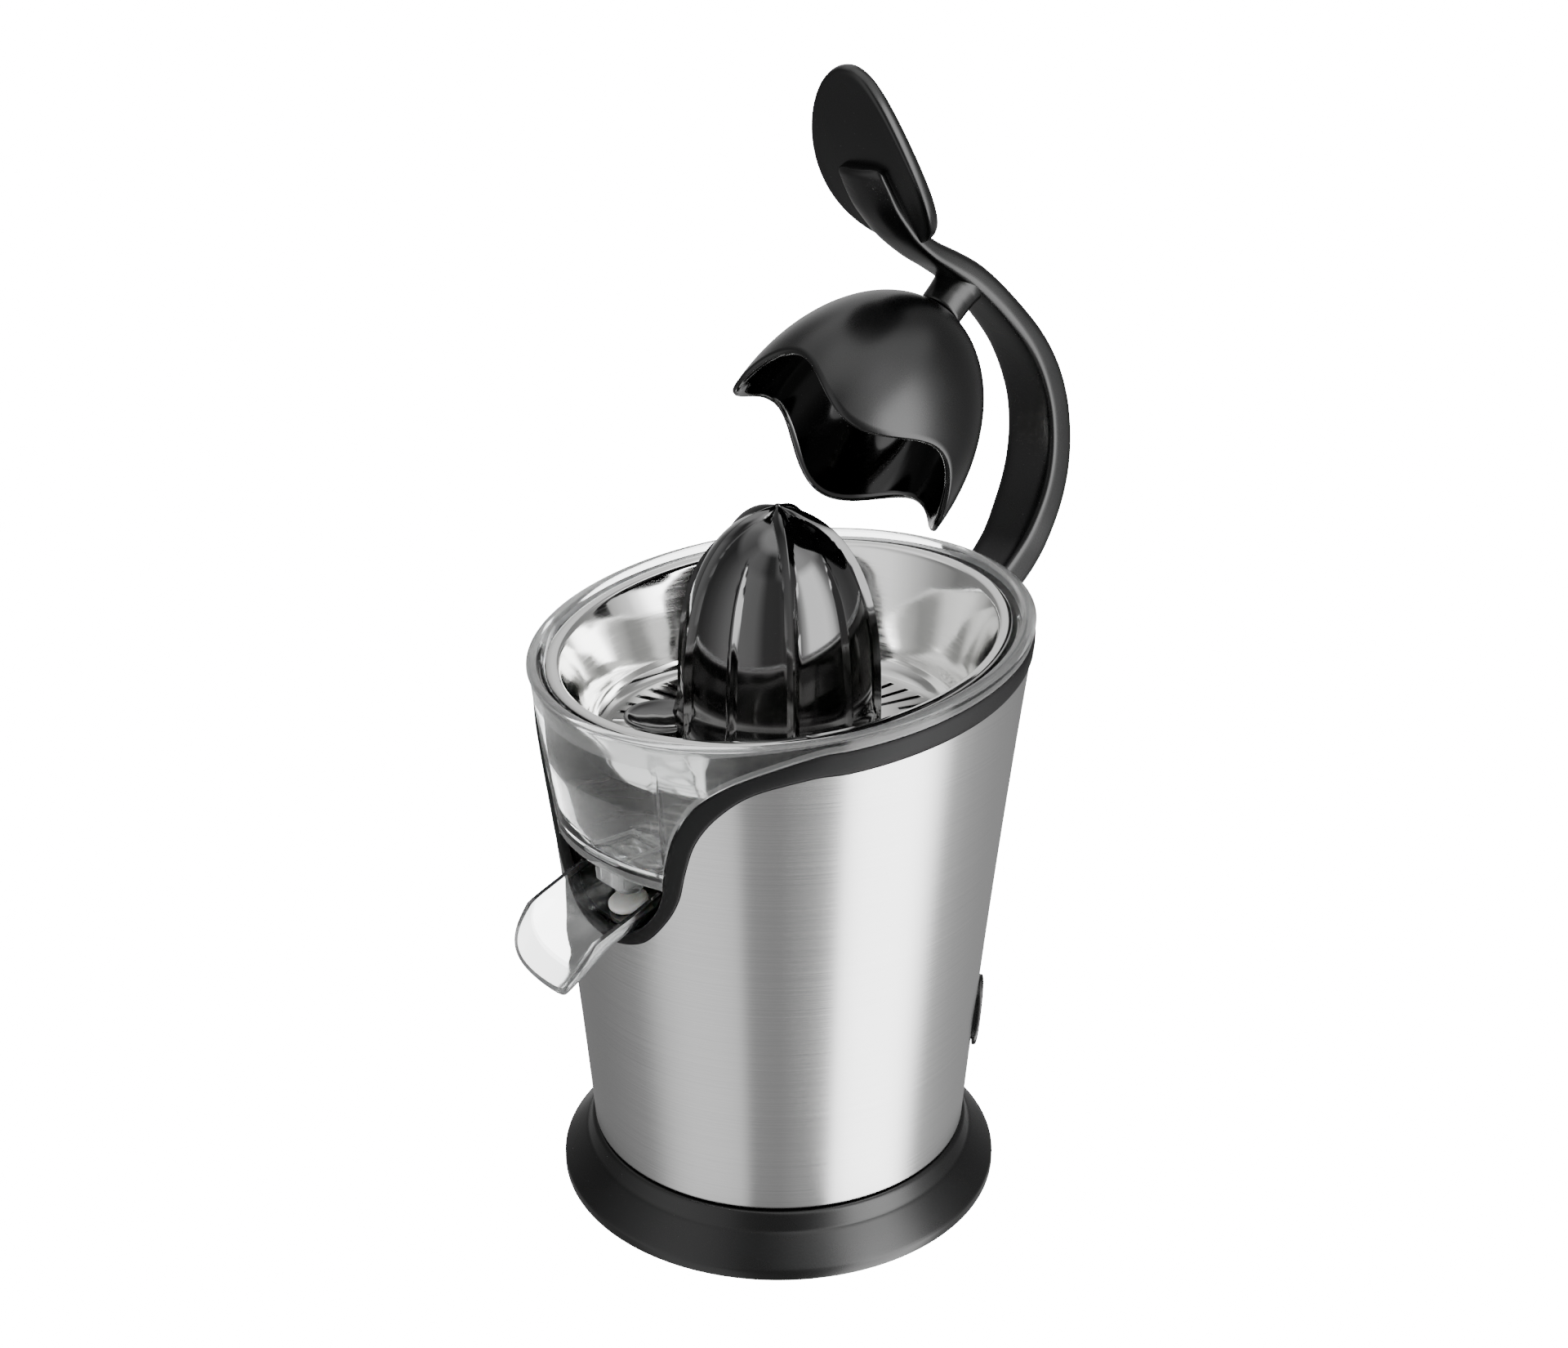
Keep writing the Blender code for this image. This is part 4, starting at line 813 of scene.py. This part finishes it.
# Stations of the trough from its hinge to its lip: y, rim z, bottom z, half width.
TROUGH = (
    (-0.0450, 0.1464, 0.1340, 0.0172), (-0.0560, 0.1445, 0.1300, 0.0185), (-0.0700, 0.1411, 0.1268, 0.0200),
    (-0.0795, 0.1377, 0.1250, 0.0202), (-0.0870, 0.1350, 0.1222, 0.0201), (-0.0920, 0.1332, 0.1175, 0.0200),
    (-0.0945, 0.1322, 0.1128, 0.0199), (-0.0957, 0.1317, 0.1090, 0.0198),
)
TROUGH_WALL = 0.0018
LIP_REACH = 0.0080
LIP_ROWS = 9
TROUGH_SIDES = 40
BARREL = ((0.0030, -0.0162), (0.0030, 0.0162), (0.0027, 0.0165), (0.0018, 0.0165), (0.0018, -0.0165),
          (0.0027, -0.0165))
PLUG = ((0.0, 0.0024), (0.0040, 0.0024), (0.0052, 0.0021), (0.0064, 0.0019), (0.0069, 0.0014),
        (0.0070, 0.0006), (0.0068, 0.0001), (0.0, 0.0))


def trough_loop(y, rim, bottom, half, share):
    """Outer U from rim to rim and back along the inside; the lip's middle reaches further out."""
    flare = LIP_REACH * share**4
    outer, inner = [], []
    power = 2 / (2.5 - 0.3 * share)
    wall = TROUGH_WALL + 0.0006 * share**3
    for i in range(TROUGH_SIDES + 1):
        a = math.pi * i / TROUGH_SIDES
        x, down = math.cos(a), math.sin(a)
        ux = math.copysign(abs(x) ** power, x)
        uz = down**power
        reach = -flare * math.sin(math.pi * 0.75 * uz)
        outer.append(Vector((half * ux, y + reach, rim - (rim - bottom) * uz)))
        inner.append(Vector(((half - wall) * ux, y + reach, rim - (rim - bottom - wall) * uz)))
    return outer + list(reversed(inner))


def make_spout():
    """Clear trough with a thicker lip, its hinge barrel and the plug that it carries."""
    fine = catmull(TROUGH, 5)
    last = len(fine) - 1
    loops = [trough_loop(*station, i / last) for i, station in enumerate(fine)]
    bm = bmesh.new()
    rows = skin(bm, loops)
    # the last rows, the lip, take the darker lip plastic: painted shade
    lip = {v for row in rows[-LIP_ROWS:] for v in row}
    for face in bm.faces:
        face.material_index = int(all(v in lip for v in face.verts))
    for row, index in ((rows[0], 0), (rows[-1], 1)):
        count = len(row)
        for j in range(count // 2 - 1):
            face = bm.faces.new((row[j], row[j + 1], row[count - 2 - j], row[count - 1 - j]))
            face.material_index = index
    trough = place("flip_spout", bm, CLEAR, "spout", "spout_trough", sharp=50.0, extra=(LIP_CLEAR,))
    bevelled(trough, 0.0005, 3, 50.0)
    hinge = Matrix.Translation((0, SPOUT_HINGE_Y, SPOUT_HINGE_Z)) @ Matrix.Rotation(math.radians(90), 4, "Y")
    lathe("spout_barrel", BARREL, CLEAR, "spout", steps=40, move=hinge)
    rise = Vector((0, -math.sin(PLUG_TILT), math.cos(PLUG_TILT)))
    seat = Matrix.Translation((0, OUTLET_Y, PLUG_LOW_Z)) @ rise.to_track_quat("Z", "Y").to_matrix().to_4x4()
    solid_lathe("silicone_plug", PLUG, SILICONE, "spout", "drip_plug", steps=64, move=seat)


# ---- lever arm, palm rest and dome ----

# Stations of the lever from its hinge to the tongue's end: y, z, thickness, half width.
ARM_LINE = (
    (0.1010, 0.2050, 0.0125, 0.0106), (0.1092, 0.2098, 0.0142, 0.0108), (0.1182, 0.2190, 0.0144, 0.0112),
    (0.1243, 0.2297, 0.0138, 0.0119), (0.1286, 0.2405, 0.0132, 0.0121), (0.1307, 0.2518, 0.0126, 0.0120),
    (0.1305, 0.2636, 0.0120, 0.0118), (0.1280, 0.2758, 0.0114, 0.0116), (0.1222, 0.2885, 0.0108, 0.0116),
    (0.1135, 0.3006, 0.0104, 0.0113), (0.0998, 0.3140, 0.0099, 0.0108), (0.0862, 0.3248, 0.0094, 0.0102),
    (0.0752, 0.3310, 0.0086, 0.0098), (0.0650, 0.3360, 0.0076, 0.0098), (0.0555, 0.3420, 0.0064, 0.0102),
    (0.0497, 0.3472, 0.0058, 0.0106), (0.0440, 0.3533, 0.0054, 0.0108), (0.0400, 0.3592, 0.0050, 0.0108),
    (0.0367, 0.3648, 0.0050, 0.0104),
)
ARM_POWER = 6.0
TONGUE_POWER = 3.6
NECK_START = 7
TONGUE_START = 14
TONGUE_DISH = 0.0011
ARM_STEPS = 6
ARM_SIDES = 56
ARM_END = ((0.93, 0.0009), (0.80, 0.0016), (0.55, 0.0020))
STUB = ((0.0040, 0.0007), (0.0060, 0.0002), (0.0077, -0.0003), (0.0081, 0.0004), (0.0082, 0.0060),
        (0.0085, 0.0100), (0.0092, 0.0135), (0.0040, 0.0135))


def eased(value):
    """Smooth step from 0 to 1."""
    value = max(0.0, min(1.0, value))
    return value * value * (3 - 2 * value)


def rounded_section(centre, across, thickness, half, dish, power):
    """Soft rectangle: X is its width, across its thickness. The face that faces the fruit is dished."""
    loop = []
    for i in range(ARM_SIDES):
        a = math.tau * (i + 0.5) / ARM_SIDES
        x = math.copysign(abs(math.cos(a)) ** (2 / power), math.cos(a))
        t = math.copysign(abs(math.sin(a)) ** (2 / power), math.sin(a))
        sunk = dish * max(0.0, -t) * (1 - x * x) ** 2
        loop.append(centre + Vector((half * x, 0, 0)) + across * (thickness / 2 * t + sunk))
    return loop


def dome_seat():
    """Turn from a dome that points straight down to the tilt it has at rest."""
    return Matrix.Translation(DOME_APEX) @ Matrix.Rotation(-DOME_TILT, 4, "X")


def make_arm():
    """Curved lever that flattens into the tongue, its hub, and the stub that carries the dome."""
    fine = catmull([p[:2] + (0.0,) for p in ARM_LINE], ARM_STEPS)
    size = catmull([p[2:] + (0.0,) for p in ARM_LINE], ARM_STEPS)
    sections = []
    for i, (p, (thickness, half, _)) in enumerate(zip(fine, size)):
        before, after = fine[max(i - 1, 0)], fine[min(i + 1, len(fine) - 1)]
        along = Vector((0, after.x - before.x, after.y - before.y)).normalized()
        across = Vector((0, along.z, -along.y))
        dish = -TONGUE_DISH * eased((i / ARM_STEPS - TONGUE_START + 1) / 3)
        power = ARM_POWER + (TONGUE_POWER - ARM_POWER) * eased((i / ARM_STEPS - NECK_START) / 3)
        sections.append(rounded_section(Vector((0, p.x, p.y)), across, thickness, half, dish, power))
    end = sections[-1]
    middle = sum(end, Vector()) / len(end)
    ahead = (fine[-1] - fine[-2]).xy.normalized()
    for shrink, reach in ARM_END:
        tip = middle + Vector((0, ahead.x, ahead.y)) * reach
        sections.append([tip + (q - middle) * shrink for q in end])
    skinned("lever", sections, SATIN, "arm", "lever_arm", caps=True)
    hub = [(0.0030, -ARM_HALF), (0.0030, ARM_HALF), (HUB_R, ARM_HALF), (HUB_R, -ARM_HALF)]
    level = Matrix.Translation((0, HINGE_Y, HINGE_Z)) @ Matrix.Rotation(math.radians(90), 4, "Y")
    lathe("lever_hub", soften(hub, 0.0008, 3), SATIN, "arm", steps=64, move=level)
    stub = soften(STUB, 0.0005, 2)
    lathe("dome_stub", stub, SATIN, "arm", steps=64, move=dome_seat())


# Rows round the pad's edge: inset from its outline, reach to the front.
PAD_EDGE = (
    (0.0030, 0.0025), (0.0016, 0.0026), (0.0008, 0.0025), (0.0003, 0.0021), (0.0001, 0.0015),
    (0.0000, 0.0004), (0.0001, -0.0008), (0.0005, -0.0018), (0.0012, -0.0025), (0.0024, -0.0029),
    (0.0040, -0.0030),
)
PAD_ROWS = 64


def make_palm_rest():
    """Bowed leaf with a thick rounded edge."""
    along = Vector((0, -math.sin(PAD_LEAN), math.cos(PAD_LEAN)))
    front = Vector((0, -math.cos(PAD_LEAN), -math.sin(PAD_LEAN)))

    def leaf(inset, reach):
        right = []
        for i in range(PAD_ROWS + 1):
            a = math.pi * (0.004 + 0.992 * i / PAD_ROWS)
            share = 0.5 - 0.5 * math.cos(a)
            half = (PAD_HALF - inset) * math.sin(a) ** 0.9 * (1 - 0.17 * (2 * share - 1))
            up = inset + (PAD_LENGTH - 2 * inset) * share
            bow = 4 * up / PAD_LENGTH * (1 - up / PAD_LENGTH)
            right.append(PAD_BASE + along * up + front * (PAD_BOW * bow + reach) + Vector((half, 0, 0)))
        return right

    def mirrored(p, share):
        return Vector((p.x * share, p.y, p.z))

    bm = bmesh.new()
    edges = [leaf(inset, reach) for inset, reach in PAD_EDGE]
    skin(bm, [right + [mirrored(p, -1) for p in reversed(right)] for right in edges])
    for right in (edges[0], edges[-1]):
        skin(bm, [[mirrored(p, 1 - j / 8) for j in range(17)] for p in right], closed=False)
    bmesh.ops.remove_doubles(bm, verts=bm.verts, dist=0.00002)
    place("palm_pad", bm, SATIN, "arm", "palm_rest", sharp=50.0)


def dome_edge(turn):
    return DOME_EDGE - DOME_WAVE * math.cos(4 * turn)


def dome_point(turn, depth, inward=0.0):
    level = 1 - depth / DOME_H
    radius = DOME_R * math.sqrt(max(0.0, 1 - level**2))
    normal = Vector((radius / DOME_R**2, level / DOME_H)).normalized()
    return polar(max(radius - normal.x * inward, 2 * AXIS_R), turn, -depth - normal.y * inward)


DOME_SLOT = "dome_black_plastic"
DOME_COLUMNS = 208
DOME_ROWS = 44
DOME_LIP = ((0.14, 0.0004), (0.5, 0.0007), (0.86, 0.0004))
NECK = ((0.0, 0.0062), (0.0026, 0.0060), (0.0024, 0.0010), (0.0040, -0.0004), (0.0040, -0.0012),
        (0.0, -0.0012))


def make_dome():
    """Bell with a wavy mouth, satin outside and glossy inside, and the neck of its ball joint."""
    columns = turns_round(DOME_COLUMNS)
    bm = bmesh.new()
    shares = [(j / DOME_ROWS) ** 1.5 for j in range(1, DOME_ROWS + 1)]
    outer = [[dome_point(a, dome_edge(a) * s) for a in columns] for s in shares]
    inner = [[dome_point(a, dome_edge(a) * s, DOME_WALL) for a in columns] for s in shares]
    lip = []
    for out_share, reach in DOME_LIP:
        ring = []
        for i, a in enumerate(columns):
            edge = outer[-1][i].lerp(inner[-1][i], out_share)
            ring.append(edge + (outer[-1][i] - outer[-2][i]).normalized() * reach)
        lip.append(ring)
    rows_out = skin(bm, outer)
    fan(bm, rows_out[0], (0, 0, 0))
    rows_in = skin(bm, list(reversed(inner)), index=1)
    fan(bm, rows_in[-1], (0, 0, -DOME_WALL), index=1)
    chain = [rows_out[-1], *[[bm.verts.new(p) for p in ring] for ring in lip], rows_in[0]]
    for n, (row, following) in enumerate(zip(chain, chain[1:])):
        bridge(bm, row, following, index=0 if n < 2 else 1)
    bm.transform(dome_seat())
    place("dome_bell", bm, SATIN, "dome", "press_dome", slot=DOME_SLOT, sharp=60.0, extra=(GLOSS,))
    solid_lathe("dome_neck", NECK, SATIN, "dome", slot=DOME_SLOT, steps=40, move=dome_seat())


# ---- hinge, switch and gland ----


def ear_outline():
    """Round eye about the pin, running tangentially down to the drum's wall."""
    points = []
    for i in range(29):
        a = math.radians(-25 + 215 * i / 28)
        points.append((HINGE_Y + HUB_R * math.cos(a), HINGE_Z + HUB_R * math.sin(a)))
    return points + [(0.0862, 0.1760), (0.0885, 0.1730), (0.0915, 0.1725)]


PLATE_LOW_Z = 0.1700
PLATE_HIGH_Z = 0.2060
PLATE_HALF_TURN = 13
PLATE_NEAR = 0.0003
PLATE_FAR = 0.0019
EAR_GAP = 0.0006


def make_hinge():
    """Curved plate on the drum and the two ears that hold the lever's pin."""
    turns = [math.radians(180 + PLATE_HALF_TURN * (i / 16 - 1)) for i in range(33)]
    rows = [PLATE_LOW_Z + (PLATE_HIGH_Z - PLATE_LOW_Z) * i / 6 for i in range(7)]
    sections = []
    for turn in turns:
        inner = [polar(drum_radius(z) + PLATE_NEAR, turn, z) for z in rows]
        outer = [polar(drum_radius(z) + PLATE_FAR, turn, z) for z in reversed(rows)]
        sections.append(inner + outer)
    bevelled(skinned("hinge_plate", sections, SATIN, "body", "hinge_bracket", caps=True), 0.0006)
    for side, label in ((-1, "left"), (1, "right")):
        faces = [side * (ARM_HALF + EAR_GAP), side * (ARM_HALF + EAR_GAP + EAR_T)]
        loops = [[Vector((x, y, z)) for y, z in ear_outline()] for x in faces]
        bevelled(skinned(f"hinge_ear_{label}", loops, SATIN, "body", caps=True), 0.0006)


def switch_face():
    """Point on the drum where the switch sits, and the outward normal there."""
    slope = DRUM_TAPER + 2 * DRUM_FLARE * (SWITCH_Z - DRUM_FOOT_Z)
    out = polar(1.0, SWITCH_TURN, -slope).normalized()
    return polar(drum_radius(SWITCH_Z), SWITCH_TURN, SWITCH_Z), out


def oval_loops(start, along, profile, half_w, half_h, sides=64):
    """Loops round an axis: each profile point is (change of half width and height, reach along the axis)."""
    side = Vector((0, 0, 1)).cross(along).normalized()
    rise = along.cross(side)
    loops = []
    for grow, reach in profile:
        loop = []
        for i in range(sides):
            a = math.tau * i / sides
            flat = side * (half_w + grow) * math.cos(a) + rise * (half_h + grow) * math.sin(a)
            loop.append(start + along * reach + flat)
        loops.append(loop)
    return loops


def oval_tool(start, along, half_w, half_h, length):
    bm = bmesh.new()
    skin(bm, oval_loops(start, along, ((0, 0), (0, length)), half_w, half_h), caps=True)
    return tool_from(bm, BRUSHED)


BEZEL = (
    (0.0, 0.0005), (0.0, 0.0014), (-0.0003, 0.0018), (-0.0010, 0.0020), (-0.0030, 0.0020), (-0.0035, 0.0017),
    (-0.0036, 0.0010), (-0.0036, -0.0068), (-0.0022, -0.0072), (-0.0020, 0.0005),
)
ROCKER = ((0.0, -0.0040), (0.0, 0.0012), (-0.0004, 0.0019), (-0.0014, 0.0021), (-0.0030, 0.0017),
          (-0.0050, 0.0014))
ROCKER_INSET = (0.0046, 0.0052)


def make_switch():
    """Oval bezel in the drum's wall and the rocker inside it."""
    face, out = switch_face()
    loops = oval_loops(face, out, BEZEL, SWITCH_HALF_W, SWITCH_HALF_H)
    skinned("bezel_ring", loops, SATIN, "body", "switch_bezel", ring=True)
    half_w, half_h = SWITCH_HALF_W - ROCKER_INSET[0], SWITCH_HALF_H - ROCKER_INSET[1]
    loops = oval_loops(face, out, ROCKER, half_w, half_h)
    skinned("rocker_cap", loops, GLOSS, "rocker", "power_rocker", caps=True)


GLAND = ((0.0085, 0.0028), (0.0085, 0.0012), (0.0060, 0.0012), (0.0060, -0.0060), (0.0034, -0.0060),
         (0.0034, 0.0028))


def make_gland():
    """Rubber gland at the rear, where a cord would enter."""
    wall = Matrix.Translation((0, drum_radius(GLAND_Z), GLAND_Z))
    level = wall @ Matrix.Rotation(math.radians(-90), 4, "X")
    ring = soften(GLAND, 0.0006, 3)
    lathe("gland_ring", ring, RUBBER, "body", "cord_gland", steps=64, move=level)


# ---- finishes of the CAD nodes that are shown as they are ----

KEPT = (
    (SATIN, ("bottom_plate", "inner_deck", "gear_tray", "gear_cover", "micro_switch")),
    (TRIM_BLACK, ("spout_well",)),
    (RUBBER, ("foot_1", "foot_2", "foot_3", "foot_4", "shaft_seal")),
    (STEEL, ("drive_shaft", "frame_post_1", "frame_post_2", "frame_post_3", "base_screw_1", "base_screw_2",
             "base_screw_3", "hinge_pin", "pin_cap_left", "pin_cap_right", "idler_axle", "spout_pin",
             "motor_rotor", "motor_stator")),
    (NYLON, ("idler_gear", "output_gear", "thrust_sleeve")),
)


def dress_kept():
    for finish, names in KEPT:
        for name in names:
            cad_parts[name].material_slots[0].material = finish


# ---- studio ----

STUDIO_R = 12.0
STUDIO_SIDES = 96
FLOOR_GAP = 0.0001
# Layers of the floor: the rays that see it, glow, radius and centre. The layers that only the clear parts
# see are painted light: glowing discs, brightest in a pool where the clear front looks through.
FLOORS = (
    ("visible_camera", 16.0, STUDIO_R, 0.0, 0.0),
    ("visible_transmission", 6.0, 0.26, -0.32, 0.14),
    ("visible_transmission", 0.85, 0.42, 0.0, 0.0),
    ("visible_transmission", 0.22, STUDIO_R, 0.0, 0.0),
)


def make_stage(name, bm, finish, ray):
    """Part of the studio that only one kind of ray sees."""
    made = linked(name, bm, finish)
    for kind in ("visible_camera", "visible_diffuse", "visible_glossy", "visible_transmission"):
        setattr(made, kind, kind == ray)


def make_floor():
    """Pale floor and round backdrop for the camera, and the dimmer glowing floors seen through clear parts,
    as painted light in them.
    """
    for n, (ray, glow, radius, x, y) in enumerate(FLOORS):
        finish, bsdf = shader(f"studio_floor_{n}", (0.90, 0.90, 0.90), 0.9)
        bsdf.inputs["Specular IOR Level"].default_value = 0.0
        bsdf.inputs["Emission Color"].default_value = (1.0, 1.0, 1.0, 1.0)
        bsdf.inputs["Emission Strength"].default_value = glow
        at = Matrix.Translation((x, y, -FLOOR_GAP * (n + 1)))
        bm = bmesh.new()
        bmesh.ops.create_circle(bm, cap_ends=True, segments=STUDIO_SIDES, radius=radius, matrix=at)
        make_stage(f"floor_{n}", bm, finish, ray)
        if n == 0:
            bm = bmesh.new()
            skin(bm, [[polar(STUDIO_R, a, z) for a in turns_round(STUDIO_SIDES)] for z in (-0.01, STUDIO_R)])
            make_stage("backdrop", bm, finish, ray)


def socket_math(tree, operation, first, second=None):
    node = tree.nodes.new("ShaderNodeMath")
    node.operation = operation
    for socket, value in zip(node.inputs, (first, second)):
        if isinstance(value, float):
            socket.default_value = value
        elif value is not None:
            tree.links.new(value, socket)
    return node.outputs[0]


def ramp_of(tree, value, stops):
    """Smooth ramp of grey levels; stops are (position, level)."""
    node = tree.nodes.new("ShaderNodeValToRGB")
    node.color_ramp.interpolation = "LINEAR"
    first, *rest = stops
    elements = node.color_ramp.elements
    elements.remove(elements[-1])
    elements[0].position = first[0]
    elements[0].color = (first[1], first[1], first[1], 1.0)
    for position, level in rest:
        elements.new(position).color = (level, level, level, 1.0)
    tree.links.new(value, node.inputs["Fac"])
    return node.outputs["Color"]


# Brightness of each tier round the object: turn in degrees from the front, level.
LOW_PANELS = (
    (-180, 0.48), (-150, 0.40), (-110, 0.26), (-45, 0.32), (-34, 0.36), (-16, 1.15), (-4, 1.30), (26, 1.20),
    (32, 0.40), (50, 0.36), (70, 0.52), (80, 0.75), (85, 5.5), (95, 6.8), (124, 8.0), (132, 5.0),
    (140, 0.95), (156, 0.60), (180, 0.48),
)
MIDDLE_PANELS = (
    (-180, 0.25), (-152, 0.25), (-140, 0.90), (-120, 0.90), (-105, 0.25), (-60, 0.20), (-45, 0.40),
    (-30, 0.80), (-16, 1.30), (-4, 1.40), (20, 1.20), (32, 0.40), (50, 0.36), (62, 0.60), (75, 0.90),
    (83, 4.0), (88, 9.0), (112, 9.0), (121, 6.0), (127, 2.5), (134, 1.10), (150, 0.50), (165, 0.30),
    (180, 0.25),
)
UPPER_PANELS = (
    (-180, 0.40), (-150, 0.35), (-122, 1.20), (-100, 1.40), (-80, 1.00), (-40, 0.70), (-12, 1.20),
    (12, 1.00), (30, 0.25), (42, 0.30), (58, 1.60), (75, 2.40), (90, 3.20), (105, 3.00), (130, 2.00),
    (150, 2.00), (165, 1.50), (180, 0.40),
)
CEILING = ((-180, 2.2), (180, 2.2))
# Each tier above the lowest, with the elevations in degrees between which it fades in.
TIERS = ((MIDDLE_PANELS, -27, -19), (UPPER_PANELS, 39, 47), (CEILING, 64, 75))


def make_world():
    """Studio light: bright and dim panels in three tiers round the object, and a softbox overhead."""
    world = bpy.data.worlds.new("studio")
    bpy.context.scene.world = world
    world.use_nodes = True
    tree = world.node_tree
    direction = tree.nodes.new("ShaderNodeTexCoord")
    split = tree.nodes.new("ShaderNodeSeparateXYZ")
    tree.links.new(direction.outputs["Generated"], split.inputs["Vector"])
    front = socket_math(tree, "MULTIPLY", split.outputs["Y"], -1.0)
    angle = socket_math(tree, "ARCTAN2", split.outputs["X"], front)
    share = socket_math(tree, "MULTIPLY_ADD", angle, 1.0 / math.tau)
    share.node.inputs[2].default_value = 0.5

    def tier(panels):
        return ramp_of(tree, share, [((turn + 180.0) / 360.0, level) for turn, level in panels])

    light = tier(LOW_PANELS)
    for panels, start, end in TIERS:
        mixed = tree.nodes.new("ShaderNodeMix")
        mixed.data_type = "RGBA"
        heights = (math.sin(math.radians(start)), math.sin(math.radians(end)))
        climb = spread(tree, split.outputs["Z"], 0.0, 1.0, *heights)
        tree.links.new(climb, mixed.inputs["Factor"])
        tree.links.new(light, mixed.inputs["A"])
        tree.links.new(tier(panels), mixed.inputs["B"])
        light = mixed.outputs["Result"]
    tree.links.new(light, tree.nodes["Background"].inputs["Color"])
    tree.nodes["Background"].inputs["Strength"].default_value = 1.0


def make_camera():
    data = bpy.data.cameras.new("camera")
    data.lens = CAMERA_LENS
    data.sensor_width = SENSOR
    data.clip_start = 0.01
    made = bpy.data.objects.new("camera", data)
    made.location = CAMERA_AT
    made.rotation_euler = CAMERA_LOOK.to_track_quat("-Z", "Y").to_euler()
    bpy.context.scene.collection.objects.link(made)
    bpy.context.scene.camera = made


make_camera()
make_base()
make_shell()
make_trim()
make_bowl()
make_outlet()
make_strainer()
make_cone()
make_wing()
make_spout()
make_arm()
make_palm_rest()
make_dome()
make_hinge()
make_switch()
make_gland()
make_spring()
dress_kept()
make_floor()
make_world()
